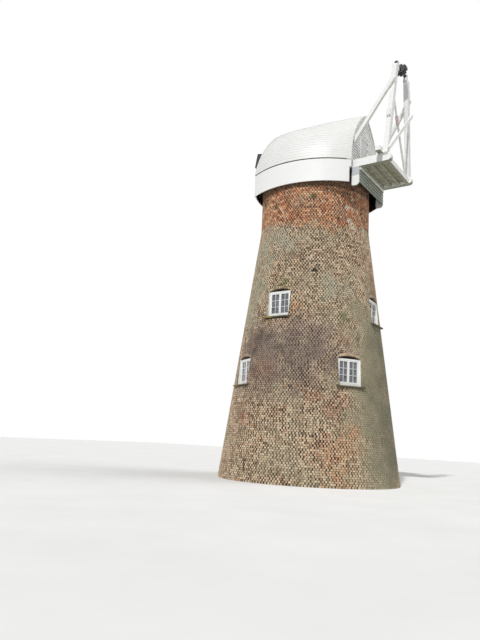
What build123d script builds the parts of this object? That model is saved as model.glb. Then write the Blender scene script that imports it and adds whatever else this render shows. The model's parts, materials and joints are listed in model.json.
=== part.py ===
from build123d import *
import os
from math import acos, cos, radians, sin, sqrt, tan

# Brick tower drainage mill with a boat-shaped timber cap that turns on the tower.
# Millimetres, +Z up. The origin is the centre of the tower's base, on the ground.
# +X points to the fan stage at the back of the cap and -X to the windshaft end.

# Tower: a tapered body with an upright band of later brickwork on top
tower_base_radius = 3360
tower_top_radius = 2150
band_start = 9570
tower_height = 11300
base_wall_thickness = 560
top_wall_thickness = 400

# Floors
slab_thickness = 120
first_floor_level = 2600
second_floor_level = 5000
board_thickness = 50
joist_depth = 180
joist_width = 90
joist_spacing = 900
hatch_margin = 15
hatch_offset = 1150

# Windows: one row to each upper floor, four to a row
window_width = 900
window_spring = 950
window_arch_rise = 95
first_sill_height = 750
second_sill_height = 770
first_window_angles = (-34.5, 57.5, 145.5, 237.5)
second_window_angles = (-91.5, 3, 88.5, 183)
window_reveal = 75
window_frame_depth = 90
window_frame_width = 65
window_rail_height = 105
mullion_width = 60
head_board_thickness = 25
sill_height = 45
sill_projection = 55
sill_horn = 100
glass_thickness = 4

# Tower door
doorway_angle = 102.5
doorway_width = 950
doorway_spring = 1850
doorway_arch_rise = 170
doorway_reveal = 120
door_frame_width = 85
door_frame_depth = 110
tower_door_thickness = 45
tower_door_setback = 35

# Curb that carries the cap
curb_width = 340
curb_height = 180
rail_width = 60
rail_height = 50
skid_length = 300
skid_height = 50

# Cap plan: each side is one arc, the front a flatter arc from corner to corner,
# and each of its places is told by its distance from the tower's top
side_clearance = 160
nose_clearance = 220
front_corner_inset = (350, 300)
rear_corner_reach = 50
rear_corner_inset = 750
rim_drop = 350
skirt_height = 900
skirt_front_rise = 220
skirt_rear_gap = 150
skirt_thickness = 35
skirt_setback = 20

# Cap roof: pointed arches, from the rear gable to the leaning front
roof_thickness = 45
roof_rises = (2480, 2355, 2190, 2260, 2490)
roof_end_inset = 20
gable_recess = 100
gable_thickness = 40
barge_width = 130
barge_point_width = 170
barge_thickness = 40

# Cap frame and fan stage
sheer_inset = 250
sheer_width = 200
sheer_depth = 300
sheer_nose = 250
sheer_tail = 140
sheer_end_radius = 145
cross_beam_width = 240
cap_floor_thickness = 40
cap_hatch_width = 800
stage_length = 1410
stage_board_thickness = 35
stage_joist_depth = 110
stage_joist_width = 90
stage_joist_rise = 20
stage_joist_count = 5
stage_fascia_height = 200
stage_fascia_thickness = 40

# Apron under the stage, behind the tower
apron_clearance = 270
apron_thickness = 30
apron_height = 500
cheek_width = 340
cheek_drop = 100
cheek_thickness = 50
cheek_end_radius = 135

# Door in the rear gable
cap_door_width = 620
cap_door_height = 1300
cap_door_thickness = 35
cap_door_clearance = 5
door_trim_width = 70
door_trim_thickness = 25
door_trim_gap = 30
hinge_offset = 16
hook_pin_radius = 7
hinge_running_gap = 0.1
barrel_radius = 11
barrel_height = 40
strap_length = 320
strap_height = 38
strap_thickness = 8
hinge_inset = 260

# Fan frame
sole_beam_inset = 360
sole_beam_width = 200
sole_beam_depth = 170
sole_beam_length = 3140
post_thickness = 180
post_width = 220
post_foot_spacing = 2440
post_top_spacing = 1270
post_height = 3880
post_rake = 2.2
strut_size = 130
strut_foot_spacing = 2170
strut_foot_height = 800
strut_head_height = 3070
brace_width = 125
brace_thickness = 50
brace_foot_height = 200
long_brace_head_height = 2330
long_brace_overhang = 420
short_brace_head_height = 3290
short_brace_overhang = 40
cleat_thickness = 150
near_cleat_lift = 1660
near_cleat_reach = 100
near_cleat_height = 230
far_cleat_lift = 3400
far_cleat_reach = 90
far_cleat_height = 340

# Fan spindle and hub
spindle_lift = 140
spindle_radius = 32
spindle_end_gap = 20
hub_radius = 165
hub_length = 230
socket_count = 8
socket_size = 104
socket_reach = 240
socket_bore = 64
socket_depth = 90
bearing_size = 150
bearing_length = 90
bearing_hold = 150
running_gap = 0.1

# Windshaft
shaft_tilt = 10
shaft_rise = 1020
shaft_radius = 115
shaft_tail = 1300
canister_gap = 230
canister_length = 1010
canister_size = 640
mortise_size = 400
mortise_width = 300
mortise_wall = 140
neck_bearing_inset = 180
tail_bearing_inset = 120
pillow_length = 200
pillow_size = 360
pillow_height = 500
trestle_beam_width = 260
trestle_beam_depth = 300
trestle_post_size = 180
trestle_spread = 1900
tail_spread = 2100
front_hole_gap = 60

# Clearances
seat_gap = 0.3
big = 20000

# Levels worked out from the sizes above
first_sill_level = first_floor_level + first_sill_height
second_sill_level = second_floor_level + second_sill_height
rail_top = tower_height + curb_height + rail_height
rim_level = tower_height - rim_drop
seam_level = rim_level + skirt_height
sheer_underside = rail_top + skid_height
sheer_top = sheer_underside + sheer_depth
floor_top = sheer_top + cap_floor_thickness
shaft_height = sheer_top + shaft_rise
post_top_level = sheer_top + post_height

# Distances from the tower's axis worked out from the sizes above
curb_radius = tower_top_radius - top_wall_thickness + curb_width / 2
cap_half_width = tower_top_radius + side_clearance
cap_nose = tower_top_radius + nose_clearance
front_x = front_corner_inset[0] - tower_top_radius
front_y = tower_top_radius - front_corner_inset[1]
rear_x = tower_top_radius + rear_corner_reach
rear_y = tower_top_radius - rear_corner_inset
gable_face = rear_x - gable_recess
gable_back = gable_face - gable_thickness
sheer_spacing = 2 * (rear_y - sheer_inset)
sheer_face = (sheer_spacing + sheer_width) / 2
stage_rear = gable_face + stage_length
sheer_front = front_x - sheer_nose
sheer_rear = stage_rear + sheer_tail
apron_face = tower_top_radius + apron_clearance
sole_beam_front = stage_rear - sole_beam_inset


os.makedirs("parts", exist_ok=True)


def outer_radius(level):
    """Radius of the brick face at a height above the ground."""
    taper = (tower_base_radius - tower_top_radius) / band_start
    return max(tower_top_radius, tower_base_radius - taper * level)


def inner_radius(level):
    """Radius of the inside of the wall at a height above the ground."""
    share = min(level, band_start) / band_start
    thickness = base_wall_thickness + share * (top_wall_thickness - base_wall_thickness)
    return outer_radius(level) - thickness


def section_plane(angle):
    """Upright plane through the tower's axis: local x runs outward, local y up."""
    turn = radians(angle)
    return Plane(origin=(0, 0, 0), x_dir=(cos(turn), sin(turn), 0), z_dir=(sin(turn), -cos(turn), 0))


def facing_plane(angle, distance, level):
    """Upright plane that faces outward at a distance from the tower's axis."""
    turn = radians(angle)
    return Plane(
        origin=(distance * cos(turn), distance * sin(turn), level),
        x_dir=(-sin(turn), cos(turn), 0),
        z_dir=(cos(turn), sin(turn), 0),
    )


def side_plane(offset):
    """Upright plane along the cap: local x runs to the back, local y up."""
    return Plane(origin=(0, offset, 0), x_dir=(1, 0, 0), z_dir=(0, -1, 0))


def cross_plane(distance, level=0, lean=0):
    """Plane across the cap, leaning back by an angle: local x is +Y, local y up."""
    turn = radians(lean)
    return Plane(origin=(distance, 0, level), x_dir=(0, 1, 0), z_dir=(cos(turn), 0, -sin(turn)))


def arched_opening(width, spring, rise):
    """Face with a flat foot at y = 0 and a low arch over the spring line."""
    with BuildLine() as outline:
        Polyline((-width / 2, spring), (-width / 2, 0), (width / 2, 0), (width / 2, spring))
        ThreePointArc((width / 2, spring), (0, spring + rise), (-width / 2, spring))
    make_face(outline.edges())


def pointed_arch(half_width, rise):
    """Face under two equal arcs that meet in a point, both centred on the foot line."""
    radius = (rise**2 + half_width**2) / (2 * half_width)
    centre = radius - half_width
    half_turn = acos(centre / radius) / 2
    shoulder = (radius * cos(half_turn) - centre, radius * sin(half_turn))
    with BuildLine() as outline:
        Line((-half_width, 0), (half_width, 0))
        ThreePointArc((half_width, 0), shoulder, (0, rise))
        ThreePointArc((0, rise), (-shoulder[0], shoulder[1]), (-half_width, 0))
    make_face(outline.edges())


def finish(builder, name):
    """Name the piece and write it as a STEP file."""
    builder.part.label = name
    export_step(builder.part, f"parts/{name}.step")


# Tower walls: four rings, each in two pairs of opposite quarters
window_rows = (
    (first_sill_level, first_window_angles),
    (second_sill_level, second_window_angles),
)
wall_rings = (
    ("ground", 0, first_floor_level, doorway_angle - 45),
    ("first", first_floor_level, second_floor_level, doorway_angle),
    ("second", second_floor_level, band_start, 45),
    ("band", band_start, tower_height, 45),
)
for ring_name, ring_foot, ring_head, first_joint in wall_rings:
    for pair, pair_name in enumerate(("a", "b")):
        with BuildPart() as wall:
            for quarter in (pair, pair + 2):
                with BuildSketch(section_plane(first_joint + 90 * quarter)):
                    with BuildLine():
                        Polyline(
                            (inner_radius(ring_foot), ring_foot),
                            (outer_radius(ring_foot), ring_foot),
                            (outer_radius(ring_head), ring_head),
                            (inner_radius(ring_head), ring_head),
                            close=True,
                        )
                    make_face()
                revolve(axis=Axis.Z, revolution_arc=90)
            if ring_name == "ground" and pair == 0:
                with BuildSketch(facing_plane(doorway_angle, 0, slab_thickness)):
                    arched_opening(doorway_width, doorway_spring, doorway_arch_rise)
                extrude(amount=big, mode=Mode.SUBTRACT)
            for sill_level, angles in window_rows:
                if ring_foot < sill_level < ring_head:
                    for angle in angles:
                        with BuildSketch(facing_plane(angle, 0, sill_level - sill_height)):
                            arched_opening(window_width, window_spring + sill_height, window_arch_rise)
                        extrude(amount=big, mode=Mode.SUBTRACT)
        finish(wall, f"{ring_name}_wall_{pair_name}")

# Floors inside the tower, cut to the taper of the wall
floors = (
    ("ground_floor", 0, slab_thickness, False),
    ("first_floor", first_floor_level - board_thickness, first_floor_level, True),
    ("second_floor", second_floor_level - board_thickness, second_floor_level, True),
)
for floor_name, floor_foot, floor_head, has_hatch in floors:
    with BuildPart() as floor:
        with BuildSketch(section_plane(0)):
            with BuildLine():
                Polyline(
                    (0, floor_foot),
                    (inner_radius(floor_foot) - seat_gap, floor_foot),
                    (inner_radius(floor_head) - seat_gap, floor_head),
                    (0, floor_head),
                    close=True,
                )
            make_face()
        revolve(axis=Axis.Z)
        if has_hatch:
            hatch_width = joist_spacing - joist_width - 2 * hatch_margin
            with Locations((-hatch_offset, 0, floor_head)):
                Box(hatch_width, hatch_width, 4 * board_thickness, mode=Mode.SUBTRACT)
    finish(floor, floor_name)

with BuildPart() as floor_joists:
    for joist_head in (first_floor_level - board_thickness, second_floor_level - board_thickness):
        joist_count = int(2 * inner_radius(joist_head) / joist_spacing) // 2 * 2
        with Locations((0, 0, joist_head)):
            with GridLocations(0, joist_spacing, 1, joist_count):
                Box(
                    2 * tower_base_radius,
                    joist_width,
                    joist_depth,
                    align=(Align.CENTER, Align.CENTER, Align.MAX),
                )
    with BuildSketch(section_plane(0)):
        with BuildLine():
            Polyline(
                (0, 0),
                (inner_radius(0) - seat_gap, 0),
                (inner_radius(band_start) - seat_gap, band_start),
                (0, band_start),
                close=True,
            )
        make_face()
    revolve(axis=Axis.Z, mode=Mode.INTERSECT)
finish(floor_joists, "floor_joists")

# Windows: upright frames set in the leaning wall, with sills and glass
light_width = (window_width - mullion_width) / 2 - window_frame_width
light_height = window_spring - window_frame_width - window_rail_height
light_centre = (mullion_width + light_width) / 2
light_level = window_rail_height + light_height / 2


def frame_back(sill_level):
    """Distance from the tower's axis to the back of the window frames of a row."""
    return outer_radius(sill_level + window_spring) - window_reveal - window_frame_depth


with BuildPart() as window_frames:
    for sill_level, angles in window_rows:
        for angle in angles:
            with BuildSketch(facing_plane(angle, frame_back(sill_level), sill_level)):
                with Locations((0, window_spring / 2)):
                    Rectangle(window_width - 2 * seat_gap, window_spring)
                with Locations((0, light_level)):
                    with GridLocations(2 * light_centre, 0, 2, 1):
                        Rectangle(light_width, light_height, mode=Mode.SUBTRACT)
            extrude(amount=window_frame_depth)
finish(window_frames, "window_frames")

with BuildPart() as window_glass:
    for sill_level, angles in window_rows:
        glass_back = frame_back(sill_level) + (window_frame_depth - glass_thickness) / 2
        for angle in angles:
            with BuildSketch(facing_plane(angle, glass_back, sill_level)):
                with Locations((0, light_level)):
                    with GridLocations(2 * light_centre, 0, 2, 1):
                        Rectangle(light_width - 2 * seat_gap, light_height - 2 * seat_gap)
            extrude(amount=glass_thickness)
finish(window_glass, "window_glass")

# Boards that close the low arches over the square heads of the frames
with BuildPart() as window_heads:
    for sill_level, angles in window_rows:
        for angle in angles:
            with BuildSketch(facing_plane(angle, frame_back(sill_level), sill_level)):
                arched_opening(window_width - 2 * seat_gap, window_spring, window_arch_rise - seat_gap)
                Rectangle(
                    window_width,
                    window_spring + seat_gap,
                    align=(Align.CENTER, Align.MIN),
                    mode=Mode.SUBTRACT,
                )
            extrude(amount=head_board_thickness)
finish(window_heads, "window_heads")

# Sills whose horns run past the opening along the face of the wall
with BuildPart() as window_sills:
    for sill_level, angles in window_rows:
        sill_nose = outer_radius(sill_level) + sill_projection
        for angle in angles:
            with BuildSketch(facing_plane(angle, frame_back(sill_level), sill_level)):
                with Locations((0, -seat_gap)):
                    Rectangle(
                        window_width + 2 * sill_horn,
                        sill_height - 2 * seat_gap,
                        align=(Align.CENTER, Align.MAX),
                    )
            extrude(amount=sill_nose - frame_back(sill_level))
    with BuildSketch(section_plane(0)):
        with BuildLine():
            Polyline(
                (0, 0),
                (outer_radius(0) + seat_gap, 0),
                (outer_radius(band_start) + seat_gap, band_start),
                (0, band_start),
                close=True,
            )
        make_face()
    revolve(axis=Axis.Z, mode=Mode.SUBTRACT)
    for sill_level, angles in window_rows:
        sill_nose = outer_radius(sill_level) + sill_projection
        for angle in angles:
            with BuildSketch(facing_plane(angle, frame_back(sill_level), sill_level)):
                with Locations((0, -seat_gap)):
                    Rectangle(
                        window_width - 2 * seat_gap,
                        sill_height - 2 * seat_gap,
                        align=(Align.CENTER, Align.MAX),
                    )
            extrude(amount=sill_nose - frame_back(sill_level))
finish(window_sills, "window_sills")

# Door at the foot of the tower, shut in its frame
door_frame_face = outer_radius(slab_thickness + doorway_spring) - doorway_reveal
with BuildPart() as tower_door_frame:
    with BuildSketch(facing_plane(doorway_angle, door_frame_face, slab_thickness)):
        arched_opening(doorway_width - 2 * seat_gap, doorway_spring, doorway_arch_rise - seat_gap)
        with Locations((0, (doorway_spring - door_frame_width) / 2)):
            Rectangle(
                doorway_width - 2 * door_frame_width,
                doorway_spring - door_frame_width,
                mode=Mode.SUBTRACT,
            )
    extrude(amount=-door_frame_depth)
finish(tower_door_frame, "tower_door_frame")

with BuildPart() as tower_door:
    with BuildSketch(facing_plane(doorway_angle, door_frame_face - tower_door_setback, slab_thickness)):
        with Locations((0, (doorway_spring - door_frame_width) / 2)):
            Rectangle(
                doorway_width - 2 * door_frame_width - 2 * seat_gap,
                doorway_spring - door_frame_width - 2 * seat_gap,
            )
    extrude(amount=-tower_door_thickness)
finish(tower_door, "tower_door")

# Curb: a timber ring on the brickwork with an iron rail for the cap to turn on
with BuildPart() as curb:
    with BuildSketch(Plane.XY.offset(tower_height)):
        Circle(curb_radius + curb_width / 2)
        Circle(curb_radius - curb_width / 2, mode=Mode.SUBTRACT)
    extrude(amount=curb_height)
finish(curb, "curb")

with BuildPart() as curb_rail:
    with BuildSketch(Plane.XY.offset(tower_height + curb_height)):
        Circle(curb_radius + rail_width / 2)
        Circle(curb_radius - rail_width / 2, mode=Mode.SUBTRACT)
    extrude(amount=rail_height)
finish(curb_rail, "curb_rail")

# Cap plan, worked out from its widest point and its two corners
front_drop = cap_half_width**2 - front_x**2 - front_y**2
rear_drop = cap_half_width**2 - rear_x**2 - rear_y**2
drop_front = 2 * (cap_half_width - front_y)
drop_rear = 2 * (cap_half_width - rear_y)
side_centre_x = (front_drop * drop_rear - rear_drop * drop_front) / (
    2 * (rear_x * drop_front - front_x * drop_rear)
)
side_centre_y = (front_drop + 2 * front_x * side_centre_x) / drop_front
side_radius = sqrt(side_centre_x**2 + (cap_half_width - side_centre_y) ** 2)


def cap_width(distance, inset=0):
    """Half the width of the cap at a distance along it, less an inset."""
    return side_centre_y + sqrt((side_radius - inset) ** 2 - (distance - side_centre_x) ** 2)


# Space under the roof, which the gable, the front and the floor are cut from
def roof_form(inset):
    """Loft through the pointed arches, the last one leaning, each drawn in by an inset."""
    arches = []
    bays = len(roof_rises) - 1
    for station, rise in enumerate(roof_rises):
        distance = rear_x - roof_end_inset - station * (rear_x - roof_end_inset - front_x) / bays
        lean = shaft_tilt if station == bays else 0
        with BuildSketch(cross_plane(distance, seam_level, lean)) as arch:
            pointed_arch(cap_width(distance) - inset, rise - inset)
        arches.append(arch.sketch)
    loft(arches)


with BuildPart() as roof_space:
    roof_form(roof_thickness)

with BuildPart() as roof_shell:
    roof_form(0)
    add(roof_space.part, mode=Mode.SUBTRACT)

for roof_name, kept in (("roof_left", Keep.BOTTOM), ("roof_right", Keep.TOP)):
    with BuildPart() as roof_half:
        add(roof_shell.part)
        split(bisect_by=Plane.XZ, keep=kept)
    finish(roof_half, roof_name)

# Rear gable wall with its doorway
door_foot = floor_top
with BuildPart() as gable_wall:
    add(roof_space.part)
    with BuildSketch(cross_plane(gable_back)):
        Rectangle(big, 2 * big)
    extrude(amount=gable_thickness, mode=Mode.INTERSECT)
    with BuildSketch(cross_plane(gable_back, door_foot)):
        Rectangle(cap_door_width, cap_door_height, align=(Align.CENTER, Align.MIN))
    extrude(amount=gable_thickness, mode=Mode.SUBTRACT)
    with BuildSketch(cross_plane(gable_back)):
        with Locations((0, (sheer_underside + sheer_top) / 2)):
            with GridLocations(sheer_spacing, 0, 2, 1):
                Rectangle(sheer_width, sheer_depth)
    extrude(amount=gable_thickness, mode=Mode.SUBTRACT)
finish(gable_wall, "gable_wall")

# Board that follows the arch on the face of the gable
with BuildPart() as barge_board:
    add(roof_space.part)
    with BuildSketch(cross_plane(gable_face)):
        Rectangle(big, 2 * big)
    extrude(amount=barge_thickness, mode=Mode.INTERSECT)
    with BuildSketch(cross_plane(gable_face, seam_level)):
        pointed_arch(
            cap_width(gable_face) - roof_thickness - barge_width,
            roof_rises[0] - roof_thickness - barge_point_width,
        )
        with Locations((0, (sheer_top - seam_level) / 2)):
            Rectangle(2 * sheer_face + 2 * seat_gap, sheer_top - seam_level)
    extrude(amount=barge_thickness, mode=Mode.SUBTRACT)
finish(barge_board, "barge_board")

# Front wall, square to the windshaft, with a hole for it
shaft_direction = (-cos(radians(shaft_tilt)), 0, sin(radians(shaft_tilt)))
front_station = front_x * shaft_direction[0] + (seam_level - shaft_height) * shaft_direction[2]
canister_start = front_station + canister_gap
neck_bearing_station = front_station - neck_bearing_inset
tail_bearing_station = tail_bearing_inset - shaft_tail


def shaft_plane(station):
    """Plane square to the windshaft at a distance along it, local y up."""
    return Plane(
        origin=(station * shaft_direction[0], 0, shaft_height + station * shaft_direction[2]),
        x_dir=(0, -1, 0),
        z_dir=shaft_direction,
    )


with BuildPart() as front_wall:
    add(roof_space.part)
    with BuildSketch(cross_plane(front_x, seam_level, shaft_tilt)):
        Rectangle(big, 2 * big)
    extrude(amount=gable_thickness, mode=Mode.INTERSECT)
    with BuildSketch(shaft_plane(0)):
        Circle(shaft_radius + front_hole_gap)
    extrude(amount=canister_start, mode=Mode.SUBTRACT)
    with BuildSketch(cross_plane(front_x - gable_thickness)):
        with Locations((0, (sheer_underside + sheer_top) / 2)):
            Rectangle(2 * sheer_face, sheer_depth)
    extrude(amount=4 * gable_thickness, mode=Mode.SUBTRACT)
finish(front_wall, "front_wall")


# Petticoat round the top of the tower, hung from the roof
def skirt_side(side):
    """One curved side of the petticoat; side is 1 for +Y and -1 for -Y."""
    outer = side_radius - skirt_setback
    inner = outer - skirt_thickness
    ends = (rear_x - skirt_rear_gap, front_x)
    middle = side_centre_x

    def point(distance, radius):
        return (distance, side * (side_centre_y + sqrt(radius**2 - (distance - side_centre_x) ** 2)))

    with BuildSketch(Plane.XY.offset(rim_level)) as plan:
        with BuildLine():
            ThreePointArc(point(ends[0], outer), point(middle, outer), point(ends[1], outer))
            Line(point(ends[1], outer), point(ends[1], inner))
            ThreePointArc(point(ends[1], inner), point(middle, inner), point(ends[0], inner))
            Line(point(ends[0], inner), point(ends[0], outer))
        make_face()
    extrude(plan.sketch, amount=seam_level - rim_level)


with BuildPart() as petticoat_sides:
    skirt_side(1)
    skirt_side(-1)
finish(petticoat_sides, "petticoat_sides")

skirt_front_y = cap_width(front_x, skirt_setback)
with BuildPart() as petticoat_front:
    with BuildSketch(Plane.XY.offset(rim_level + skirt_front_rise)):
        with BuildLine():
            ThreePointArc((front_x, skirt_front_y), (-cap_nose, 0), (front_x, -skirt_front_y))
            Line((front_x, -skirt_front_y), (front_x, -skirt_front_y + 2 * skirt_thickness))
            ThreePointArc(
                (front_x, -skirt_front_y + 2 * skirt_thickness),
                (-cap_nose + skirt_thickness, 0),
                (front_x, skirt_front_y - 2 * skirt_thickness),
            )
            Line((front_x, skirt_front_y - 2 * skirt_thickness), (front_x, skirt_front_y))
        make_face()
    extrude(amount=sheer_top - rim_level - skirt_front_rise)
    with BuildSketch(cross_plane(front_x - seat_gap, seam_level, shaft_tilt)):
        Rectangle(big, big, align=(Align.CENTER, Align.MIN))
    extrude(amount=big, mode=Mode.SUBTRACT)
finish(petticoat_front, "petticoat_front")

# Weathered cover between the front wall and the nose of the petticoat
with BuildPart() as front_cover:
    with BuildSketch(Plane.XY.offset(sheer_top)):
        with BuildLine():
            ThreePointArc((front_x, skirt_front_y), (-cap_nose, 0), (front_x, -skirt_front_y))
            Line((front_x, -skirt_front_y), (front_x, skirt_front_y))
        make_face()
    extrude(amount=cap_floor_thickness)
    with BuildSketch(cross_plane(front_x - seat_gap, seam_level, shaft_tilt)):
        Rectangle(big, big, align=(Align.CENTER, Align.MIN))
    extrude(amount=big, mode=Mode.SUBTRACT)
finish(front_cover, "front_cover")

# Cap frame: two long sheers with rounded tails, and the beams between them
with BuildPart() as sheers:
    for side in (-1, 1):
        with BuildSketch(side_plane(side * sheer_spacing / 2)) as sheer_profile:
            with Locations((sheer_front, sheer_underside)):
                Rectangle(sheer_rear - sheer_front, sheer_depth, align=(Align.MIN, Align.MIN))
            fillet(sheer_profile.vertices().group_by(Axis.X)[-1], radius=sheer_end_radius)
        extrude(amount=sheer_width / 2, both=True)
finish(sheers, "sheers")

with BuildPart() as cross_beams:
    for beam_front in (sheer_front, -cross_beam_width / 2, gable_back - 2 * cross_beam_width):
        with Locations((beam_front, 0, sheer_underside)):
            Box(
                cross_beam_width,
                sheer_spacing - sheer_width,
                sheer_depth,
                align=(Align.MIN, Align.CENTER, Align.MIN),
            )
finish(cross_beams, "cross_beams")

with BuildPart() as skid_blocks:
    skid_station = sqrt(curb_radius**2 - (sheer_spacing / 2) ** 2)
    with Locations((0, 0, sheer_underside)):
        with GridLocations(2 * skid_station, sheer_spacing, 2, 2):
            Box(
                skid_length,
                sheer_width,
                sheer_underside - rail_top - seat_gap,
                align=(Align.CENTER, Align.CENTER, Align.MAX),
            )
finish(skid_blocks, "skid_blocks")

with BuildPart() as cap_floor:
    add(roof_space.part)
    with BuildSketch(Plane.XY.offset(sheer_top)):
        with Locations((gable_back, 0)):
            Rectangle(gable_back - front_x, big, align=(Align.MAX, Align.CENTER))
    extrude(amount=cap_floor_thickness, mode=Mode.INTERSECT)
    with BuildSketch(cross_plane(front_x, seam_level, shaft_tilt)):
        Rectangle(big, 2 * big)
    extrude(amount=gable_thickness, mode=Mode.SUBTRACT)
    with Locations((cross_beam_width / 2, 0, sheer_top)):
        Box(
            cap_hatch_width,
            cap_hatch_width,
            4 * cap_floor_thickness,
            align=(Align.MIN, Align.CENTER, Align.CENTER),
            mode=Mode.SUBTRACT,
        )
finish(cap_floor, "cap_floor")


# Trestles that carry the two bearings of the windshaft
def trestle(station, spread):
    """Posts on the cap floor and a beam under the bearing block."""
    place = station * shaft_direction[0]
    beam_top = shaft_height + station * shaft_direction[2] - pillow_size / 2
    with Locations((place, 0, beam_top)):
        Box(
            trestle_beam_width,
            spread,
            trestle_beam_depth,
            align=(Align.CENTER, Align.CENTER, Align.MAX),
        )
    with Locations((place, 0, floor_top)):
        with GridLocations(0, spread - trestle_post_size, 1, 2):
            Box(
                trestle_post_size,
                trestle_post_size,
                beam_top - trestle_beam_depth - floor_top,
                align=(Align.CENTER, Align.CENTER, Align.MIN),
            )


def pillow(station):
    """Bearing block square to the shaft, bored for it, cut level with the beam."""
    place = station * shaft_direction[0]
    beam_top = shaft_height + station * shaft_direction[2] - pillow_size / 2
    with BuildSketch(shaft_plane(station - pillow_length / 2)) as block:
        Rectangle(pillow_size, pillow_height)
    extrude(block.sketch, amount=pillow_length)
    with BuildSketch(shaft_plane(station - pillow_length)) as bore:
        Circle(shaft_radius + running_gap)
    extrude(bore.sketch, amount=2 * pillow_length, mode=Mode.SUBTRACT)
    with Locations((place, 0, beam_top)):
        Box(
            2 * pillow_length,
            2 * pillow_size,
            pillow_size,
            align=(Align.CENTER, Align.CENTER, Align.MAX),
            mode=Mode.SUBTRACT,
        )


with BuildPart() as bearing_trestles:
    trestle(neck_bearing_station, trestle_spread)
    trestle(tail_bearing_station, tail_spread)
finish(bearing_trestles, "bearing_trestles")

with BuildPart() as shaft_bearings:
    pillow(neck_bearing_station)
    pillow(tail_bearing_station)
finish(shaft_bearings, "shaft_bearings")

# Windshaft with the cast canister that held the sail stocks
with BuildPart() as windshaft:
    with BuildSketch(shaft_plane(-shaft_tail)):
        Circle(shaft_radius)
    extrude(amount=shaft_tail + canister_start)
    with BuildSketch(shaft_plane(canister_start)):
        Rectangle(canister_size, canister_size)
    extrude(amount=canister_length)
    mortise_stations = (
        canister_start + mortise_wall,
        canister_start + canister_length - mortise_wall - mortise_width,
    )
    for mortise_station, sizes in zip(
        mortise_stations,
        ((2 * canister_size, mortise_size), (mortise_size, 2 * canister_size)),
    ):
        with BuildSketch(shaft_plane(mortise_station)):
            Rectangle(*sizes)
        extrude(amount=mortise_width, mode=Mode.SUBTRACT)
finish(windshaft, "windshaft")

# Fan stage: boards on joists between the sheers, and a fascia across the end
stage_floor_foot = sheer_underside + stage_joist_rise + stage_joist_depth
stage_pitch = (stage_length - stage_joist_width) / (stage_joist_count - 1)
with BuildPart() as stage_deck:
    with Locations(((gable_face + stage_rear) / 2, 0, stage_floor_foot)):
        with GridLocations(stage_pitch, 0, stage_joist_count, 1):
            Box(
                stage_joist_width,
                sheer_spacing - sheer_width,
                stage_joist_depth,
                align=(Align.CENTER, Align.CENTER, Align.MAX),
            )
        Box(
            stage_length,
            sheer_spacing - sheer_width,
            stage_board_thickness,
            align=(Align.CENTER, Align.CENTER, Align.MIN),
        )
finish(stage_deck, "stage_deck")

with BuildPart() as stage_fascia:
    with Locations((stage_rear, 0, sheer_underside)):
        Box(
            stage_fascia_thickness,
            sheer_spacing - sheer_width,
            stage_fascia_height,
            align=(Align.MIN, Align.CENTER, Align.MIN),
        )
finish(stage_fascia, "stage_fascia")

# Apron that closes the back of the petticoat, with a round-ended cheek at each side
with BuildPart() as apron:
    with Locations((apron_face, 0, rim_level)):
        Box(
            apron_thickness,
            2 * sheer_face - 2 * cheek_thickness,
            apron_height,
            align=(Align.MAX, Align.CENTER, Align.MIN),
        )
finish(apron, "apron")

with BuildPart() as apron_cheeks:
    for side in (-1, 1):
        with BuildSketch(side_plane(side * (sheer_face - cheek_thickness / 2))) as cheek_profile:
            with Locations((apron_face, sheer_underside)):
                Rectangle(
                    cheek_width,
                    sheer_underside - rim_level + cheek_drop,
                    align=(Align.MAX, Align.MAX),
                )
            fillet(cheek_profile.vertices().group_by(Axis.Y)[0], radius=cheek_end_radius)
        extrude(amount=cheek_thickness / 2, both=True)
finish(apron_cheeks, "apron_cheeks")

# Sole beam across the sheers, and the raking posts of the fan frame behind it
sole_beam_back = sole_beam_front + sole_beam_width
with BuildPart() as sole_beam:
    with Locations((sole_beam_front, 0, sheer_top)):
        Box(
            sole_beam_width,
            sole_beam_length,
            sole_beam_depth,
            align=(Align.MIN, Align.CENTER, Align.MIN),
        )
finish(sole_beam, "sole_beam")

post_lean = (post_foot_spacing - post_top_spacing) / 2 / post_height
post_shift = tan(radians(post_rake))


def post_centre(side, level):
    """Centre of a fan post at a height."""
    climb = level - sheer_top
    return (
        sole_beam_back + post_thickness / 2 + post_shift * climb,
        side * (post_foot_spacing / 2 - post_lean * climb),
        level,
    )


with BuildPart() as fan_posts:
    for side in (-1, 1):
        for level in (sheer_top, post_top_level):
            with BuildSketch(Plane(origin=post_centre(side, level), z_dir=(0, 0, 1))):
                Rectangle(post_thickness, post_width)
        loft()
    for side, lift, reach, height in (
        (-1, near_cleat_lift, near_cleat_reach, near_cleat_height),
        (1, far_cleat_lift, far_cleat_reach, far_cleat_height),
    ):
        with Locations(post_centre(side, sheer_top + lift)):
            Box(
                cleat_thickness,
                post_width / 2 + reach,
                height,
                align=(Align.CENTER, Align.MIN if side > 0 else Align.MAX, Align.CENTER),
            )
finish(fan_posts, "fan_posts")


def bar_plane(start, end, across):
    """Plane at the foot of a straight bar, square to its run, and the length of the bar."""
    run = Vector(*end) - Vector(*start)
    forward = run.normalized()
    sideways = Vector(*across)
    flat = (sideways - forward * sideways.dot(forward)).normalized()
    return Plane(origin=start, x_dir=flat, z_dir=forward), run.length


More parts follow.
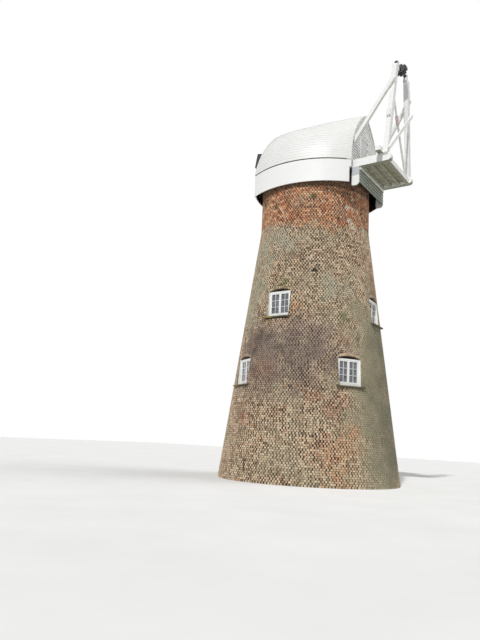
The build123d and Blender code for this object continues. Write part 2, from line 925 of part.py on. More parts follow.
# Long struts from the gable to the outer faces of the posts
with BuildPart() as fan_struts:
    for side in (-1, 1):
        head = post_centre(side, sheer_top + strut_head_height)
        outside = (post_width + strut_size) / 2 + seat_gap
        strut_head = (head[0], head[1] + side * outside, head[2])
        foot = (gable_face, side * strut_foot_spacing / 2, sheer_top + strut_foot_height)
        plane, length = bar_plane(foot, strut_head, (0, 1, 0))
        with BuildSketch(plane.offset(-strut_size)):
            Rectangle(strut_size, strut_size)
        extrude(amount=length + 2 * strut_size)
    with BuildSketch(cross_plane(gable_face + barge_thickness)):
        Rectangle(big, 2 * big)
    extrude(amount=-gable_face, mode=Mode.SUBTRACT)
    add(fan_posts.part, mode=Mode.SUBTRACT)
finish(fan_struts, "fan_struts")

# Crossed braces on the two faces of the posts
with BuildPart() as fan_braces:
    for side, face, head_height, overhang in (
        (-1, 1, long_brace_head_height, long_brace_overhang),
        (1, -1, short_brace_head_height, short_brace_overhang),
    ):
        foot = post_centre(side, sheer_top + brace_foot_height)
        head = post_centre(-side, sheer_top + head_height)
        shift = face * ((post_thickness + brace_thickness) / 2 + seat_gap)
        start = (foot[0] + shift, foot[1], foot[2])
        end = (head[0] + shift, head[1], head[2])
        plane, length = bar_plane(start, end, (1, 0, 0))
        with BuildSketch(plane.offset(-brace_width)):
            Rectangle(brace_thickness, brace_width)
        extrude(amount=length + brace_width + overhang)
    add(sole_beam.part, mode=Mode.SUBTRACT)
    add(fan_posts.part, mode=Mode.SUBTRACT)
finish(fan_braces, "fan_braces")

# Fan spindle and hub, with a ring of sockets for the vane stocks
spindle_level = post_top_level + spindle_lift
spindle_x = post_centre(1, spindle_level)[0]
spindle_half = (post_top_spacing - post_width) / 2 - spindle_end_gap
with BuildPart() as fan_hub:
    with BuildSketch(side_plane(0)):
        with Locations((spindle_x, spindle_level)):
            Circle(hub_radius)
    extrude(amount=hub_length / 2, both=True)
    with BuildSketch(side_plane(0)):
        with Locations((spindle_x, spindle_level)):
            Circle(spindle_radius)
    extrude(amount=spindle_half, both=True)
    with Locations(Plane(origin=(spindle_x, 0, spindle_level), x_dir=(1, 0, 0), z_dir=(0, -1, 0))):
        with PolarLocations(0, socket_count):
            Box(socket_reach, socket_size, socket_size, align=(Align.MIN, Align.CENTER, Align.CENTER))
    with Locations(Plane(origin=(spindle_x, 0, spindle_level), x_dir=(1, 0, 0), z_dir=(0, -1, 0))):
        with PolarLocations(socket_reach - socket_depth, socket_count):
            Box(
                socket_depth,
                socket_bore,
                socket_bore,
                align=(Align.MIN, Align.CENTER, Align.CENTER),
                mode=Mode.SUBTRACT,
            )
finish(fan_hub, "fan_hub")

with BuildPart() as fan_bearings:
    for side in (-1, 1):
        bearing_end = side * (post_top_spacing / 2 - post_width / 4)
        with Locations((spindle_x, bearing_end, spindle_level + bearing_size / 2)):
            Box(
                bearing_size,
                bearing_length + post_width / 4,
                bearing_size / 2 + spindle_lift + bearing_hold,
                align=(Align.CENTER, Align.MAX if side > 0 else Align.MIN, Align.MAX),
            )
    with BuildSketch(side_plane(0)):
        with Locations((spindle_x, spindle_level)):
            Circle(spindle_radius + running_gap)
    extrude(amount=post_top_spacing, both=True, mode=Mode.SUBTRACT)
    add(fan_posts.part, mode=Mode.SUBTRACT)
finish(fan_bearings, "fan_bearings")

# Door in the gable: leaf, strap hinges, and the hooks they hang on
hinge_x = gable_face + hinge_offset
hinge_y = cap_door_width / 2
hinge_levels = (door_foot + hinge_inset, door_foot + cap_door_height - hinge_inset)
with BuildPart() as cap_door:
    with Locations((gable_face, 0, door_foot + cap_door_clearance)):
        Box(
            cap_door_thickness,
            cap_door_width - 2 * cap_door_clearance,
            cap_door_height - 2 * cap_door_clearance,
            align=(Align.MAX, Align.CENTER, Align.MIN),
        )
finish(cap_door, "cap_door")

with BuildPart() as door_straps:
    for hinge_level in hinge_levels:
        with Locations((gable_face, hinge_y - cap_door_clearance, hinge_level + barrel_height / 2)):
            Box(strap_thickness, strap_length, strap_height, align=(Align.MIN, Align.MAX, Align.CENTER))
        with BuildSketch(Plane.XY.offset(hinge_level)):
            with Locations((hinge_x, hinge_y)):
                Circle(barrel_radius)
            with Locations((gable_face + cap_door_clearance, hinge_y)):
                Rectangle(
                    strap_thickness - cap_door_clearance,
                    4 * cap_door_clearance,
                    align=(Align.MIN, Align.MAX),
                )
        extrude(amount=barrel_height)
        with BuildSketch(Plane.XY.offset(hinge_level)):
            with Locations((hinge_x, hinge_y)):
                Circle(hook_pin_radius + hinge_running_gap)
        extrude(amount=barrel_height, mode=Mode.SUBTRACT)
finish(door_straps, "door_straps")

with BuildPart() as door_hooks:
    for hinge_level in hinge_levels:
        with BuildSketch(Plane.XY.offset(hinge_level - seat_gap)):
            with Locations((hinge_x, hinge_y)):
                Circle(barrel_radius)
            with Locations((gable_face, hinge_y)):
                Rectangle(hinge_offset, barrel_radius, align=(Align.MIN, Align.MIN))
        extrude(amount=-barrel_height / 2)
        with BuildSketch(Plane.XY.offset(hinge_level - seat_gap)):
            with Locations((hinge_x, hinge_y)):
                Circle(hook_pin_radius)
        extrude(amount=barrel_height)
finish(door_hooks, "door_hooks")

with BuildPart() as door_trim:
    with BuildSketch(cross_plane(gable_face, door_foot)):
        Rectangle(
            cap_door_width + 2 * (door_trim_gap + door_trim_width),
            cap_door_height + door_trim_gap + door_trim_width,
            align=(Align.CENTER, Align.MIN),
        )
        Rectangle(
            cap_door_width + 2 * door_trim_gap,
            cap_door_height + door_trim_gap,
            align=(Align.CENTER, Align.MIN),
            mode=Mode.SUBTRACT,
        )
    extrude(amount=door_trim_thickness)
finish(door_trim, "door_trim")
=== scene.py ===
import json
import math
import random

import bmesh
import bpy
from mathutils import Matrix, Vector
from mathutils.bvhtree import BVHTree


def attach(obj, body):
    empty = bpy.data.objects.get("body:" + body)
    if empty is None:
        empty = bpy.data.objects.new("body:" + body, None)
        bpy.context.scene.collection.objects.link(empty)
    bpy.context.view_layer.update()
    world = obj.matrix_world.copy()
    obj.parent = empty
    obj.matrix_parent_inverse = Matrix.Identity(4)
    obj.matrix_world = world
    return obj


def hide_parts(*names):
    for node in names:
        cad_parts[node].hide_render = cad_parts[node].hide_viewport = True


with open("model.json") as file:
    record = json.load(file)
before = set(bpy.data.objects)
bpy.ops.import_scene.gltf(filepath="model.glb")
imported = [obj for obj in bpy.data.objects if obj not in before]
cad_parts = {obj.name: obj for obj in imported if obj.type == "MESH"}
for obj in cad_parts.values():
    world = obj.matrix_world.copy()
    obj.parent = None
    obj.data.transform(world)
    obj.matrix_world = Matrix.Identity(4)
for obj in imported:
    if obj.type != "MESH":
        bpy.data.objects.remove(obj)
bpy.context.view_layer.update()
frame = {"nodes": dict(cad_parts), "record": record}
nodes = frame["nodes"]
link = bpy.context.scene.collection.objects.link

# Sizes shared with the construction, in metres
TOWER_BASE_RADIUS = 3.36
TOWER_TOP_RADIUS = 2.15
BAND_START = 9.57
TOWER_HEIGHT = 11.3
BASE_WALL = 0.56
TOP_WALL = 0.4
SLAB = 0.12
FLOORS = (2.6, 5.0)
WINDOW_WIDTH = 0.9
WINDOW_SPRING = 0.95
WINDOW_RISE = 0.095
LOW_WINDOWS = (-34.5, 57.5, 145.5, 237.5)
HIGH_WINDOWS = (-91.5, 3, 88.5, 183)
WINDOWS = [(angle, 3.35) for angle in LOW_WINDOWS] + [(angle, 5.77) for angle in HIGH_WINDOWS]
SILL_HEIGHT = 0.045
WINDOW_REVEAL = 0.075
FRAME_DEPTH = 0.09
FRAME_WIDTH = 0.065
BOTTOM_RAIL = 0.105
MULLION = 0.06
DOORWAY_ANGLE = 102.5
DOORWAY_WIDTH = 0.95
DOORWAY_SPRING = 1.85
DOORWAY_RISE = 0.17
SEAM = 11.85
RIM = 10.95
FRONT_X = -1.8
ROOF_REAR = 2.18
GABLE_FACE = 2.1
SHAFT_TILT = math.radians(10)
SHEER_UNDERSIDE = 11.58
SHEER_TOP = 11.88
SHEER_FACE = 1.25
SHEER_WIDTH = 0.2
STAGE_REAR = 3.51
APRON_FACE = 2.42
DOOR_FOOT = 11.92
DOOR_WIDTH = 0.62
DOOR_HEIGHT = 1.3
SKIRT_THICKNESS = 0.035
SPINDLE = (3.5944, 0, 15.9)
UNIT = (Vector((1, 0, 0)), Vector((0, 1, 0)), Vector((0, 0, 1)))
UP = UNIT[2]
MILLIMETRE = 0.001

# Brickwork: every brick lies across the wall, so its small end shows
BRICK_PITCH = 0.1125
COURSES = 151
COURSE = TOWER_HEIGHT / COURSES
SIDE_JOINT = 0.031
SIDE_VARIES = (0.3, 1.9)
BED_JOINT = 0.006
BED_VARIES = (0.6, 2.2)
BOND_DRIFT = 0.14
SMALLEST_BAT = 0.02
JOINT_DEPTH = 0.012
SLOPE = (TOWER_BASE_RADIUS - TOWER_TOP_RADIUS) / BAND_START
BATTER = math.atan(SLOPE)
NEAR_SIDE = math.radians(-63)
ARCH_RING = 0.112
ARCH_PROUD = 0.002
# Where a brick has fallen out of the sunny side
LOST_BRICK = Vector((1.12, -2.14, 7.47))
LOST_REACH = 0.085

# Films on the brick: colour, strength, patch size, low, high, how far it fills the joints, spots
WHITE_LICHEN = ("#F0EBDD", 0.95, 0.06, 0.35, 0.9, 0.3, (
    (1.89, -1.02, 10.1, 0.2), (1.92, -0.97, 9.59, 0.18), (1.99, -0.86, 9.39, 0.16), (2.16, -0.19, 9.4, 0.17),
    (1.99, -0.81, 10.48, 0.13), (2.07, -0.57, 10.07, 0.12)))
BODY_FILMS = (
    ("#B7AF93", 0.5, 1.1, 0.42, 0.66, 0.35, ()),
    ("#8A705C", 0.5, 0.6, 0.48, 0.72, 0.0, ()),
    ("#BAB59C", 0.75, 0.5, 0.0, 0.9, 0.3, (
        (-0.19, -2.25, 8.72, 0.9), (-1.3, -1.86, 8.64, 0.9), (-0.8, -2.3, 8.0, 0.8), (-1.5, -2.1, 7.0, 1.3),
        (-1.7, -2.3, 6.2, 1.2), (1.65, -1.89, 6.74, 0.7), (1.3, 1.9, 8.4, 1.1), (-2.0, 1.5, 6.0, 1.2),
        (0.4, 2.6, 5.6, 0.9), (-2.9, 0.3, 3.6, 1.2), (-1.3, 2.3, 4.2, 1.0))),
    ("#9D977D", 0.85, 0.8, -0.35, 0.9, 0.9, (
        (2.6, -0.5, 5.6, 1.2), (2.7, -0.3, 4.6, 1.7), (2.85, -0.9, 3.6, 1.5), (3.0, -0.9, 2.4, 1.3),
        (3.2, -0.5, 1.0, 1.5), (2.6, 0.5, 6.2, 1.4), (2.8, 0.7, 4.4, 1.9), (3.0, 0.9, 2.4, 1.8))),
    ("#6E6C56", 0.8, 0.9, -0.45, 1.0, 0.85, (
        (2.75, 0.1, 5.0, 0.9), (2.9, -0.1, 3.8, 1.1), (3.05, -0.1, 2.4, 1.2), (3.2, 0.0, 1.0, 1.3),
        (2.8, 1.3, 4.0, 1.3))),
    ("#C9B3A0", 0.6, 0.35, 0.0, 0.9, 0.1, (
        (-0.6, -2.7, 5.35, 0.6), (0.1, -2.7, 5.3, 0.6), (0.86, -2.56, 5.25, 0.6), (1.5, -2.2, 5.3, 0.5))),
    ("#86746A", 0.85, 0.45, -0.4, 0.9, 0.15, (
        (-1.1, -2.7, 4.6, 1.0), (-0.31, -2.73, 4.6, 1.1), (0.46, -2.69, 4.6, 1.1), (1.3, -2.4, 4.6, 1.1),
        (0.9, -2.7, 3.9, 1.0), (0.0, -2.8, 3.9, 1.1), (-0.8, -2.8, 3.8, 0.9), (1.6, 2.4, 4.3, 0.9),
        (-2.2, 1.7, 4.6, 0.8))),
    ("#4A403B", 0.65, 0.25, 0.1, 1.0, 0.5, (
        (-0.75, -2.65, 5.0, 0.45), (-0.35, -2.7, 5.05, 0.4), (-0.95, -2.68, 4.6, 0.3), (0.2, -2.8, 4.6, 0.3))),
    ("#B4674F", 0.34, 0.14, 0.1, 1.1, 0.0, (
        (2.16, -1.67, 4.95, 0.5), (-0.75, -2.85, 3.85, 0.6), (-0.2, -2.87, 3.87, 0.6), (1.5, -2.6, 2.9, 0.6),
        (1.96, -2.33, 2.49, 0.6), (2.31, -1.92, 2.86, 0.4), (2.0, 1.7, 3.4, 0.7), (-1.2, -2.8, 2.2, 0.7),
        (-2.4, -0.6, 7.4, 0.7))),
    ("#D3A075", 0.6, 0.25, 0.1, 1.0, 0.0, (
        (2.19, -2.37, 1.05, 1.0), (2.48, -2.0, 1.39, 0.9), (2.54, -1.83, 1.81, 0.6), (1.4, -1.64, 9.2, 0.5),
        (0.58, -2.5, 6.1, 0.3), (0.6, -2.55, 5.9, 0.25), (-0.4, -2.6, 5.66, 0.3), (0.2, -2.64, 5.66, 0.3),
        (2.2, -2.3, 0.5, 0.8))),
    ("#5F6B3C", 0.7, 0.2, 0.3, 0.95, 0.7, (
        (0.08, -2.47, 6.95, 0.55), (2.05, -1.62, 5.8, 0.4), (-0.45, -2.66, 5.62, 0.3), (-2.5, 0.2, 5.6, 0.4),
        (0.8, 3.1, 0.5, 0.6), (-0.9, 3.1, 0.3, 0.6))),
    ("#767A60", 0.6, 0.5, -0.2, 0.9, 0.5, (
        (-1.94, -0.99, 9.2, 0.6), (-2.03, -1.03, 8.5, 0.7), (-2.2, -1.12, 7.0, 0.8), (-2.37, -1.2, 5.5, 0.8),
        (-2.54, -1.3, 4.0, 0.8))),
    ("#8A4B38", 0.6, 0.2, 0.1, 1.0, 0.2, (
        (2.33, 0.19, 8.11, 0.45), (2.4, 0.17, 7.55, 0.5), (2.46, 0.12, 7.06, 0.5))),
    WHITE_LICHEN,
    ("#E2D9C2", 0.7, 0.08, 0.66, 0.75, 0.0, ()),
)
BAND_FILMS = (
    ("#A8805F", 0.5, 0.45, 0.46, 0.64, 0.2, ()),
    ("#CBAE8F", 0.5, 0.6, 0.48, 0.66, 0.1, ()),
    ("#6E5240", 0.5, 0.3, 0.54, 0.72, 0.0, ()),
    ("#56633A", 0.8, 0.14, 0.3, 0.9, 0.6, (
        (0.9, -1.95, 10.41, 0.26), (-0.6, -2.05, 10.2, 0.22), (-1.3, -1.7, 10.5, 0.3))),
    WHITE_LICHEN,
    ("#E6D5B8", 0.8, 0.08, 0.64, 0.74, 0.0, ()),
)
BODY_CLAYS = (
    (0.0, "#7A604E"), (0.1, "#AF9175"), (0.35, "#CAAE8F"), (0.7, "#D9C0A0"), (0.94, "#E6D3B6"),
    (1.0, "#C6926B"))
BAND_CLAYS = ((0.0, "#7C4F3B"), (0.13, "#BE7957"), (0.45, "#D8966D"), (0.78, "#E8B184"), (1.0, "#F0D1AE"))
# Level where red brick takes over from buff, how far it wanders up and down, and where it hangs lower
CHANGE_LEVEL = 9.5
CHANGE_WANDER = 1.2
CHANGE_DIP = 0.4
DIP_SPOT = ((1.0, -1.9, 9.45, 1.7),)
# Above this level the brick under the petticoat is darkened, partly by dust that the rain never washes off and
# partly as painted shade of the petticoat
DUST_AND_SHADE_LEVEL = 10.83
# Yellow moss on the left end of the sills that face the weather
SILL_MOSS = (
    (-0.42, -2.72, 5.75, 0.3), (-0.3, -2.75, 5.75, 0.2), (1.85, -2.3, 3.33, 0.25), (-1.9, -2.3, 3.33, 0.3))

# Grain that runs along the cap, or up and down
ALONG_CAP = (0.08, 1, 1)
UPRIGHT = (1, 1, 0.08)
GRIME = "#8F9183"
# Algae green with painted shade, for faces that look down
UNDERSIDE_GREEN_AND_SHADE = "#666A4C"
# How far back the petticoat covers the cheeks, where a dark strip is painted shade of the gap, and the level
# above which a painted shadow of the sheers lies on them
CHEEK_GAP_SHADE = 2.128
CHEEK_SHADOW_LEVEL = 11.24


def linear(code):
    """The linear colour of an sRGB hex value."""
    parts = [int(code[i:i + 2], 16) / 255 for i in (1, 3, 5)]
    return tuple(p / 12.92 if p <= 0.04045 else ((p + 0.055) / 1.055) ** 2.4 for p in parts) + (1.0,)


def add_node(tree, kind, inputs=None, **settings):
    """Add a node, set its options, and fill or link its inputs."""
    made = tree.nodes.new(kind)
    for key, value in settings.items():
        setattr(made, key, value)
    for key, value in (inputs or {}).items():
        if isinstance(value, bpy.types.NodeSocket):
            tree.links.new(value, made.inputs[key])
        else:
            made.inputs[key].default_value = value
    return made


class Finish:
    """A material in the making: a colour built up in layers, placed by Object coordinates in metres."""

    def __init__(self, name, roughness, code="#FFFFFF"):
        self.material = bpy.data.materials.new(name)
        self.material.use_nodes = True
        self.tree = self.material.node_tree
        self.tree.nodes.clear()
        self.shader = self.node("BsdfPrincipled", {"Roughness": roughness})
        self.node("OutputMaterial", {0: self.shader.outputs[0]})
        self.place = self.node("TexCoord").outputs["Object"]
        self.colour = linear(code)

    def node(self, kind, inputs=None, **settings):
        """A shader node."""
        return add_node(self.tree, "ShaderNode" + kind, inputs, **settings)

    def number(self, work, *values):
        """A number worked out from others."""
        return self.node("Math", dict(enumerate(values)), operation=work).outputs[0]

    def vector(self, work, *values):
        """The vector and the number that are worked out from vectors."""
        return self.node("VectorMath", dict(enumerate(values)), operation=work).outputs

    def noise(self, size, detail=3, roughness=0.55, stretch=(1, 1, 1)):
        """Cloudy noise with patches of a size in metres, stretched along the axes."""
        place = self.node("Mapping", {0: self.place, 3: stretch}).outputs[0]
        look = {"Vector": place, "Scale": 1 / size, "Detail": detail, "Roughness": roughness}
        return self.node("TexNoise", look).outputs[0]

    def spread(self, value, low, high, strength=1.0):
        """A value eased from nothing at low to a strength at high."""
        ends = {0: value, 1: low, 2: high, 4: strength}
        return self.node("MapRange", ends, interpolation_type="SMOOTHSTEP").outputs[0]

    def ramp(self, value, *stops):
        """A colour picked from stops by a value."""
        made = self.node("ValToRGB", {0: value})
        ends = made.color_ramp.elements
        for end, (place, code) in ((ends[0], stops[0]), (ends[1], stops[-1])):
            end.position, end.color = place, linear(code)
        for place, code in stops[1:-1]:
            ends.new(place).color = linear(code)
        return made.outputs[0]

    def near(self, spots, ragged, low, high):
        """A mask that is full at the middle of each spot and ragged round its edge."""
        reach = None
        for x, y, z, radius in spots:
            away = self.vector("DISTANCE", self.place, (x, y, z))[1]
            inside = self.number("MULTIPLY_ADD", away, -1 / radius, 1.0)
            reach = inside if reach is None else self.number("MAXIMUM", inside, reach)
        ragged = self.number("MULTIPLY_ADD", ragged, 2.6, -1.3)
        return self.spread(self.number("ADD", reach, ragged), low, high)

    def facing(self):
        """Which way a face looks in the piece's own axes, the same however far the cap has turned."""
        world = self.node("NewGeometry").outputs["True Normal"]
        way = {"vector_type": "NORMAL", "convert_from": "WORLD", "convert_to": "OBJECT"}
        return self.node("VectorTransform", {0: world}, **way).outputs[0]

    def looking_down(self):
        """A mask of the faces that look down, for a film that is painted shade, with algae green on the cap
        timbers.
        """
        return self.spread(self.node("SeparateXYZ", {0: self.facing()}).outputs[2], -0.3, -0.75, 0.9)

    def lay(self, colour, share):
        """Lay a colour over the one that is there, by a share."""
        colour = linear(colour) if isinstance(colour, str) else colour
        self.colour = self.node("Mix", {0: share, 6: self.colour, 7: colour}, data_type="RGBA").outputs[2]

    def weather(self, films, in_joints=False):
        """Lay films on; in a joint each film is as strong as it fills the joint."""
        for code, strength, size, low, high, fills, spots in films:
            share = strength * fills if in_joints else strength
            if share:
                cloud = self.noise(size, 5, 0.62)
                mask = self.near(spots, cloud, low, high) if spots else self.spread(cloud, low, high)
                self.lay(code, self.number("MULTIPLY", mask, share))

    def done(self, height=None, depth=0.0, strength=0.6):
        """The material with its colour, and a bump of a depth in metres."""
        self.tree.links.new(self.colour, self.shader.inputs["Base Color"])
        if height:
            bump = self.node("Bump", {"Height": height, "Distance": depth, "Strength": strength})
            self.tree.links.new(bump.outputs[0], self.shader.inputs["Normal"])
        return self.material


# Old brick: hand made and matt, each brick with its own tone
def brick_material(name, films):
    """Buff clay below and red clay above a ragged change of brick, under films of lichen, soot or moss."""
    made = Finish(name, 0.9)
    tone = made.node("Attribute", attribute_name="tone").outputs["Fac"]
    height = made.node("SeparateXYZ", {0: made.place}).outputs[2]
    wander = made.noise(0.35, 5, 0.7)
    level = made.number("MULTIPLY_ADD", wander, CHANGE_WANDER, height)
    level = made.number("MULTIPLY_ADD", made.near(DIP_SPOT, wander, 0.0, 1.0), CHANGE_DIP, level)
    change = CHANGE_LEVEL + CHANGE_WANDER / 2
    made.colour = made.ramp(tone, *BODY_CLAYS)
    made.lay(made.ramp(tone, *BAND_CLAYS), made.spread(level, change - 0.06, change + 0.1))
    made.weather(films)
    # Darker under the petticoat: dust, and painted shade of the petticoat
    made.lay("#33261F", made.spread(height, DUST_AND_SHADE_LEVEL - 0.05, DUST_AND_SHADE_LEVEL + 0.04, 0.6))
    made.lay("#4A3B2F", made.spread(made.noise(0.14, 4, 0.6, (1, 1, 0.2)), 0.56, 0.72, 0.5))
    grit = made.noise(0.03, 4, 0.7)
    made.lay("#3A3028", made.spread(grit, 0.55, 0.38, 0.3))
    return made.done(grit, 0.004, 0.8)


# Lime mortar, washed out of its joints and coloured nearly black as painted shade in those deep joints, but for
# films that fill them
def mortar_material():
    made = Finish("lime_mortar_painted_joint_shade", 0.95)
    made.colour = made.ramp(made.noise(0.25), (0.3, "#19130F"), (0.7, "#30261E"))
    made.weather(BODY_FILMS, True)
    return made.done(made.noise(0.012, 2), 0.002)


# Brick lining inside the tower and round its openings, with thin pale joints
def lining_material():
    made = Finish("brick_lining", 0.9)
    x, y, z = made.node("SeparateXYZ", {0: made.place}).outputs[:3]
    radius = made.vector("LENGTH", made.node("CombineXYZ", {0: x, 1: y}).outputs[0])[1]
    around = made.number("MULTIPLY_ADD", made.number("ARCTAN2", y, x), 2.6, radius)
    bricks = made.node("TexBrick", {
        "Vector": made.node("CombineXYZ", {0: around, 1: z}).outputs[0],
        "Color1": linear("#8E6650"), "Color2": linear("#A5866A"), "Mortar": linear("#6A5E50"),
        "Scale": 1.0, "Mortar Size": 0.005, "Mortar Smooth": 0.3,
        "Brick Width": BRICK_PITCH, "Row Height": COURSE,
    }).outputs
    made.colour = bricks[0]
    made.lay("#54473B", made.spread(made.noise(0.3), 0.45, 0.7, 0.5))
    return made.done(bricks["Fac"], -0.004)


# Painted softwood: an even gloss paint, faint grain, a little grime, and where given a film of painted shade on
# faces that look down, green with algae on the cap timbers
def paint_material(name, code, grain, dirt, dirt_code=GRIME, under=None):
    """grain is the grain's stretch, dirt the share of grime, and under the colour of a painted-shade film on
    faces that look down.
    """
    made = Finish(name, 0.45, code)
    made.lay(dirt_code, made.spread(made.noise(0.5, 5, 0.65), 0.48, 0.75, dirt))
    fine = made.noise(0.05, stretch=grain)
    made.lay(dirt_code, made.spread(fine, 0.55, 0.8, 0.18))
    if under:
        made.lay(under, made.looking_down())
    return made.done(fine, 0.0015, 0.4)


# The petticoat: white paint outside, and on the faces that look in at the brick tarred timber, made near black
# as painted shade
def petticoat_material():
    made = Finish("white_paint_over_tar_with_painted_shade", 0.45, "#F2F2F0")
    radial = made.vector("NORMALIZE", made.vector("MULTIPLY", made.place, (1, 1, 0))[0])[0]
    outside = made.vector("DOT_PRODUCT", made.facing(), radial)[1]
    made.lay("#A9ADA4", made.spread(made.noise(0.6, 5, 0.65), 0.5, 0.8, 0.1))
    fine = made.noise(0.06, stretch=UPRIGHT)
    made.lay("#B9BAB2", made.spread(fine, 0.58, 0.8, 0.12))
    inside_tar_shade = made.ramp(made.noise(0.1), (0.35, "#14120F"), (0.7, "#2A251F"))
    made.lay(inside_tar_shade, made.spread(outside, -0.02, -0.2))
    return made.done(fine, 0.0015, 0.4)


# The round-ended cheeks: white paint, a dark strip at the edge that the petticoat covers as painted shade of
# the gap, a painted shadow of the sheers on the upper part, and algae green with painted shade on faces that
# look down
def cheek_material():
    made = Finish("white_gloss_paint_on_cheek", 0.45, "#EBEBE8")
    fine = made.noise(0.05, stretch=UPRIGHT)
    made.lay(GRIME, made.spread(fine, 0.55, 0.8, 0.18))
    along, aside, level = made.node("SeparateXYZ", {0: made.place}).outputs[:3]
    # Painted shadow of the sheers on the upper part
    made.lay("#ABB0B5", made.spread(level, CHEEK_SHADOW_LEVEL - 0.02, CHEEK_SHADOW_LEVEL + 0.02, 0.75))
    made.lay(UNDERSIDE_GREEN_AND_SHADE, made.looking_down())
    # Dark strip at the front edge: painted shade of the gap behind the petticoat's end
    made.lay("#1C1916", made.spread(along, CHEEK_GAP_SHADE + 0.004, CHEEK_GAP_SHADE))
    return made.done(fine, 0.0015, 0.4)


# Bare and faded timber: long grain, grey where it weathers
def timber_material(name, light, dark, grain, roughness=0.8):
    made = Finish(name, roughness)
    rings = made.noise(0.06, 5, 0.6, grain)
    made.colour = made.ramp(rings, (0.35, dark), (0.65, light))
    made.lay(dark, made.spread(made.noise(0.35), 0.5, 0.75, 0.4))
    return made.done(rings, 0.003, 0.5)


# Cast iron under black paint, with rust starting through it
def iron_material():
    made = Finish("black_painted_cast_iron", 0.5, "#2E3133")
    rust = made.spread(made.noise(0.12, 5, 0.7), 0.56, 0.72, 0.6)
    made.lay("#5B3826", rust)
    rough = made.node("MapRange", {0: rust, 3: 0.42, 4: 0.85}).outputs[0]
    made.tree.links.new(rough, made.shader.inputs["Roughness"])
    return made.done(made.noise(0.012), 0.0015)


# Bracket of cast iron: white paint on it, worn off and greasy black round the spindle
def bearing_material():
    made = Finish("white_paint_on_cast_iron", 0.45, "#E4E5E3")
    away = made.vector("DISTANCE", made.vector("MULTIPLY", made.place, (1, 0, 1))[0], SPINDLE)[1]
    worn = made.noise(0.05, 4, 0.6)
    made.lay(GRIME, made.spread(worn, 0.55, 0.8, 0.3))
    made.lay("#202022", made.spread(made.number("MULTIPLY_ADD", worn, 0.05, away), 0.105, 0.085))
    return made.done(made.noise(0.012), 0.001)


# Old drawn window glass: slightly wavy, clear, with a film of dust
def glass_material():
    made = Finish("old_window_glass", 0.06, "#7F848C")
    made.shader.inputs["Transmission Weight"].default_value = 0.55
    made.shader.inputs["IOR"].default_value = 1.5
    made.lay("#A7ABB2", made.spread(made.noise(0.2), 0.35, 0.7))
    return made.done(made.noise(0.15, 1), 0.004, 0.3)


# Stone and paving: worn, matt, with yellow lichen on the sills
def stone_material(name, light, dark, lichen, moss=()):
    """moss is the places where yellow moss sits, such as the ends of the sills."""
    made = Finish(name, 0.92)
    made.colour = made.ramp(made.noise(0.08, 6, 0.7), (0.3, dark), (0.7, light))
    made.lay(lichen, made.spread(made.noise(0.09, 4, 0.6), 0.58, 0.68, 0.8))
    if moss:
        made.lay("#9A8848", made.near(moss, made.noise(0.06, 4), 0.2, 1.0))
    return made.done(made.noise(0.015), 0.003)


finishes = {
    "brickwork": brick_material("weathered_buff_brick", BODY_FILMS),
    "red_brickwork": brick_material("orange_red_brick", BAND_FILMS),
    "floor_brick": stone_material("worn_paving_brick", "#8A6854", "#5B4538", "#6E6A55"),
    "sill_stone": stone_material("weathered_sill", "#6F6854", "#443E33", "#8E8452", SILL_MOSS),
    "bare_timber": timber_material("old_sawn_timber", "#8A6F52", "#574331", ALONG_CAP),
    # Near-black tarred boards, which also stand as painted shade in the recesses where they are used
    "tarred_board": timber_material("tarred_board", "#2B2721", "#15130F", UPRIGHT, 0.7),
    "white_timber": paint_material("white_gloss_paint", "#EFEFEC", UPRIGHT, 0.18),
    "white_boards": paint_material("white_board_paint", "#EAEAE7", ALONG_CAP, 0.14, "#B9BAB2"),
    "grey_timber": timber_material("faded_grey_green_boards", "#B2B09B", "#787762", ALONG_CAP),
    "pale_grey_timber": paint_material("pale_grey_paint", "#E6E6E8", UPRIGHT, 0.2),
    "black_iron": iron_material(),
    "window_glass": glass_material(),
}
mortar = mortar_material()
lining = lining_material()
# Cap timbers: white gloss above, green with algae and painted shade below
cap_timber = paint_material("white_gloss_paint_green_and_shaded_below", "#EFEFEC", UPRIGHT, 0.18, under=UNDERSIDE_GREEN_AND_SHADE)
# Gable: white boards, whiter than the other boards as painted light, with painted shade under each lap
gable_paint = paint_material("white_board_paint_on_gable", "#F8F8F6", ALONG_CAP, 0.08, under="#AEB3AD")
petticoat_paint = petticoat_material()
# Hinge straps and hooks: white paint dulled with grime
ironmongery = paint_material("white_paint_on_wrought_iron", "#D9DADA", ALONG_CAP, 0.4)
own_finishes = {
    "apron_cheeks": cheek_material(),
    "gable_wall": gable_paint,
    "fan_bearings": bearing_material(),
    # The apron's backing in near-black tar, painted shade in the gaps between its boards
    "apron": finishes["tarred_board"],
    **dict.fromkeys(("sheers", "stage_fascia", "sole_beam"), cap_timber),
    **dict.fromkeys(("petticoat_sides", "petticoat_front"), petticoat_paint),
    **dict.fromkeys(("door_straps", "door_hooks"), ironmongery),
}
for part in frame["record"]["subparts"]:
    mesh = nodes[part["node"]].data
    mesh.materials.clear()
    mesh.materials.append(own_finishes.get(part["node"], finishes[part["material_slot"]]))


def raw_object(name, verts, faces):
    """An object in the scene from corners and faces, with its faces turned outwards."""
    mesh = bpy.data.meshes.new(name)
    mesh.from_pydata([tuple(v) for v in verts], [], faces)
    shell = bmesh.new()
    shell.from_mesh(mesh)
    bmesh.ops.recalc_face_normals(shell, faces=shell.faces)
    shell.to_mesh(mesh)
    shell.free()
    made = bpy.data.objects.new(name, mesh)
    link(made)
    return made


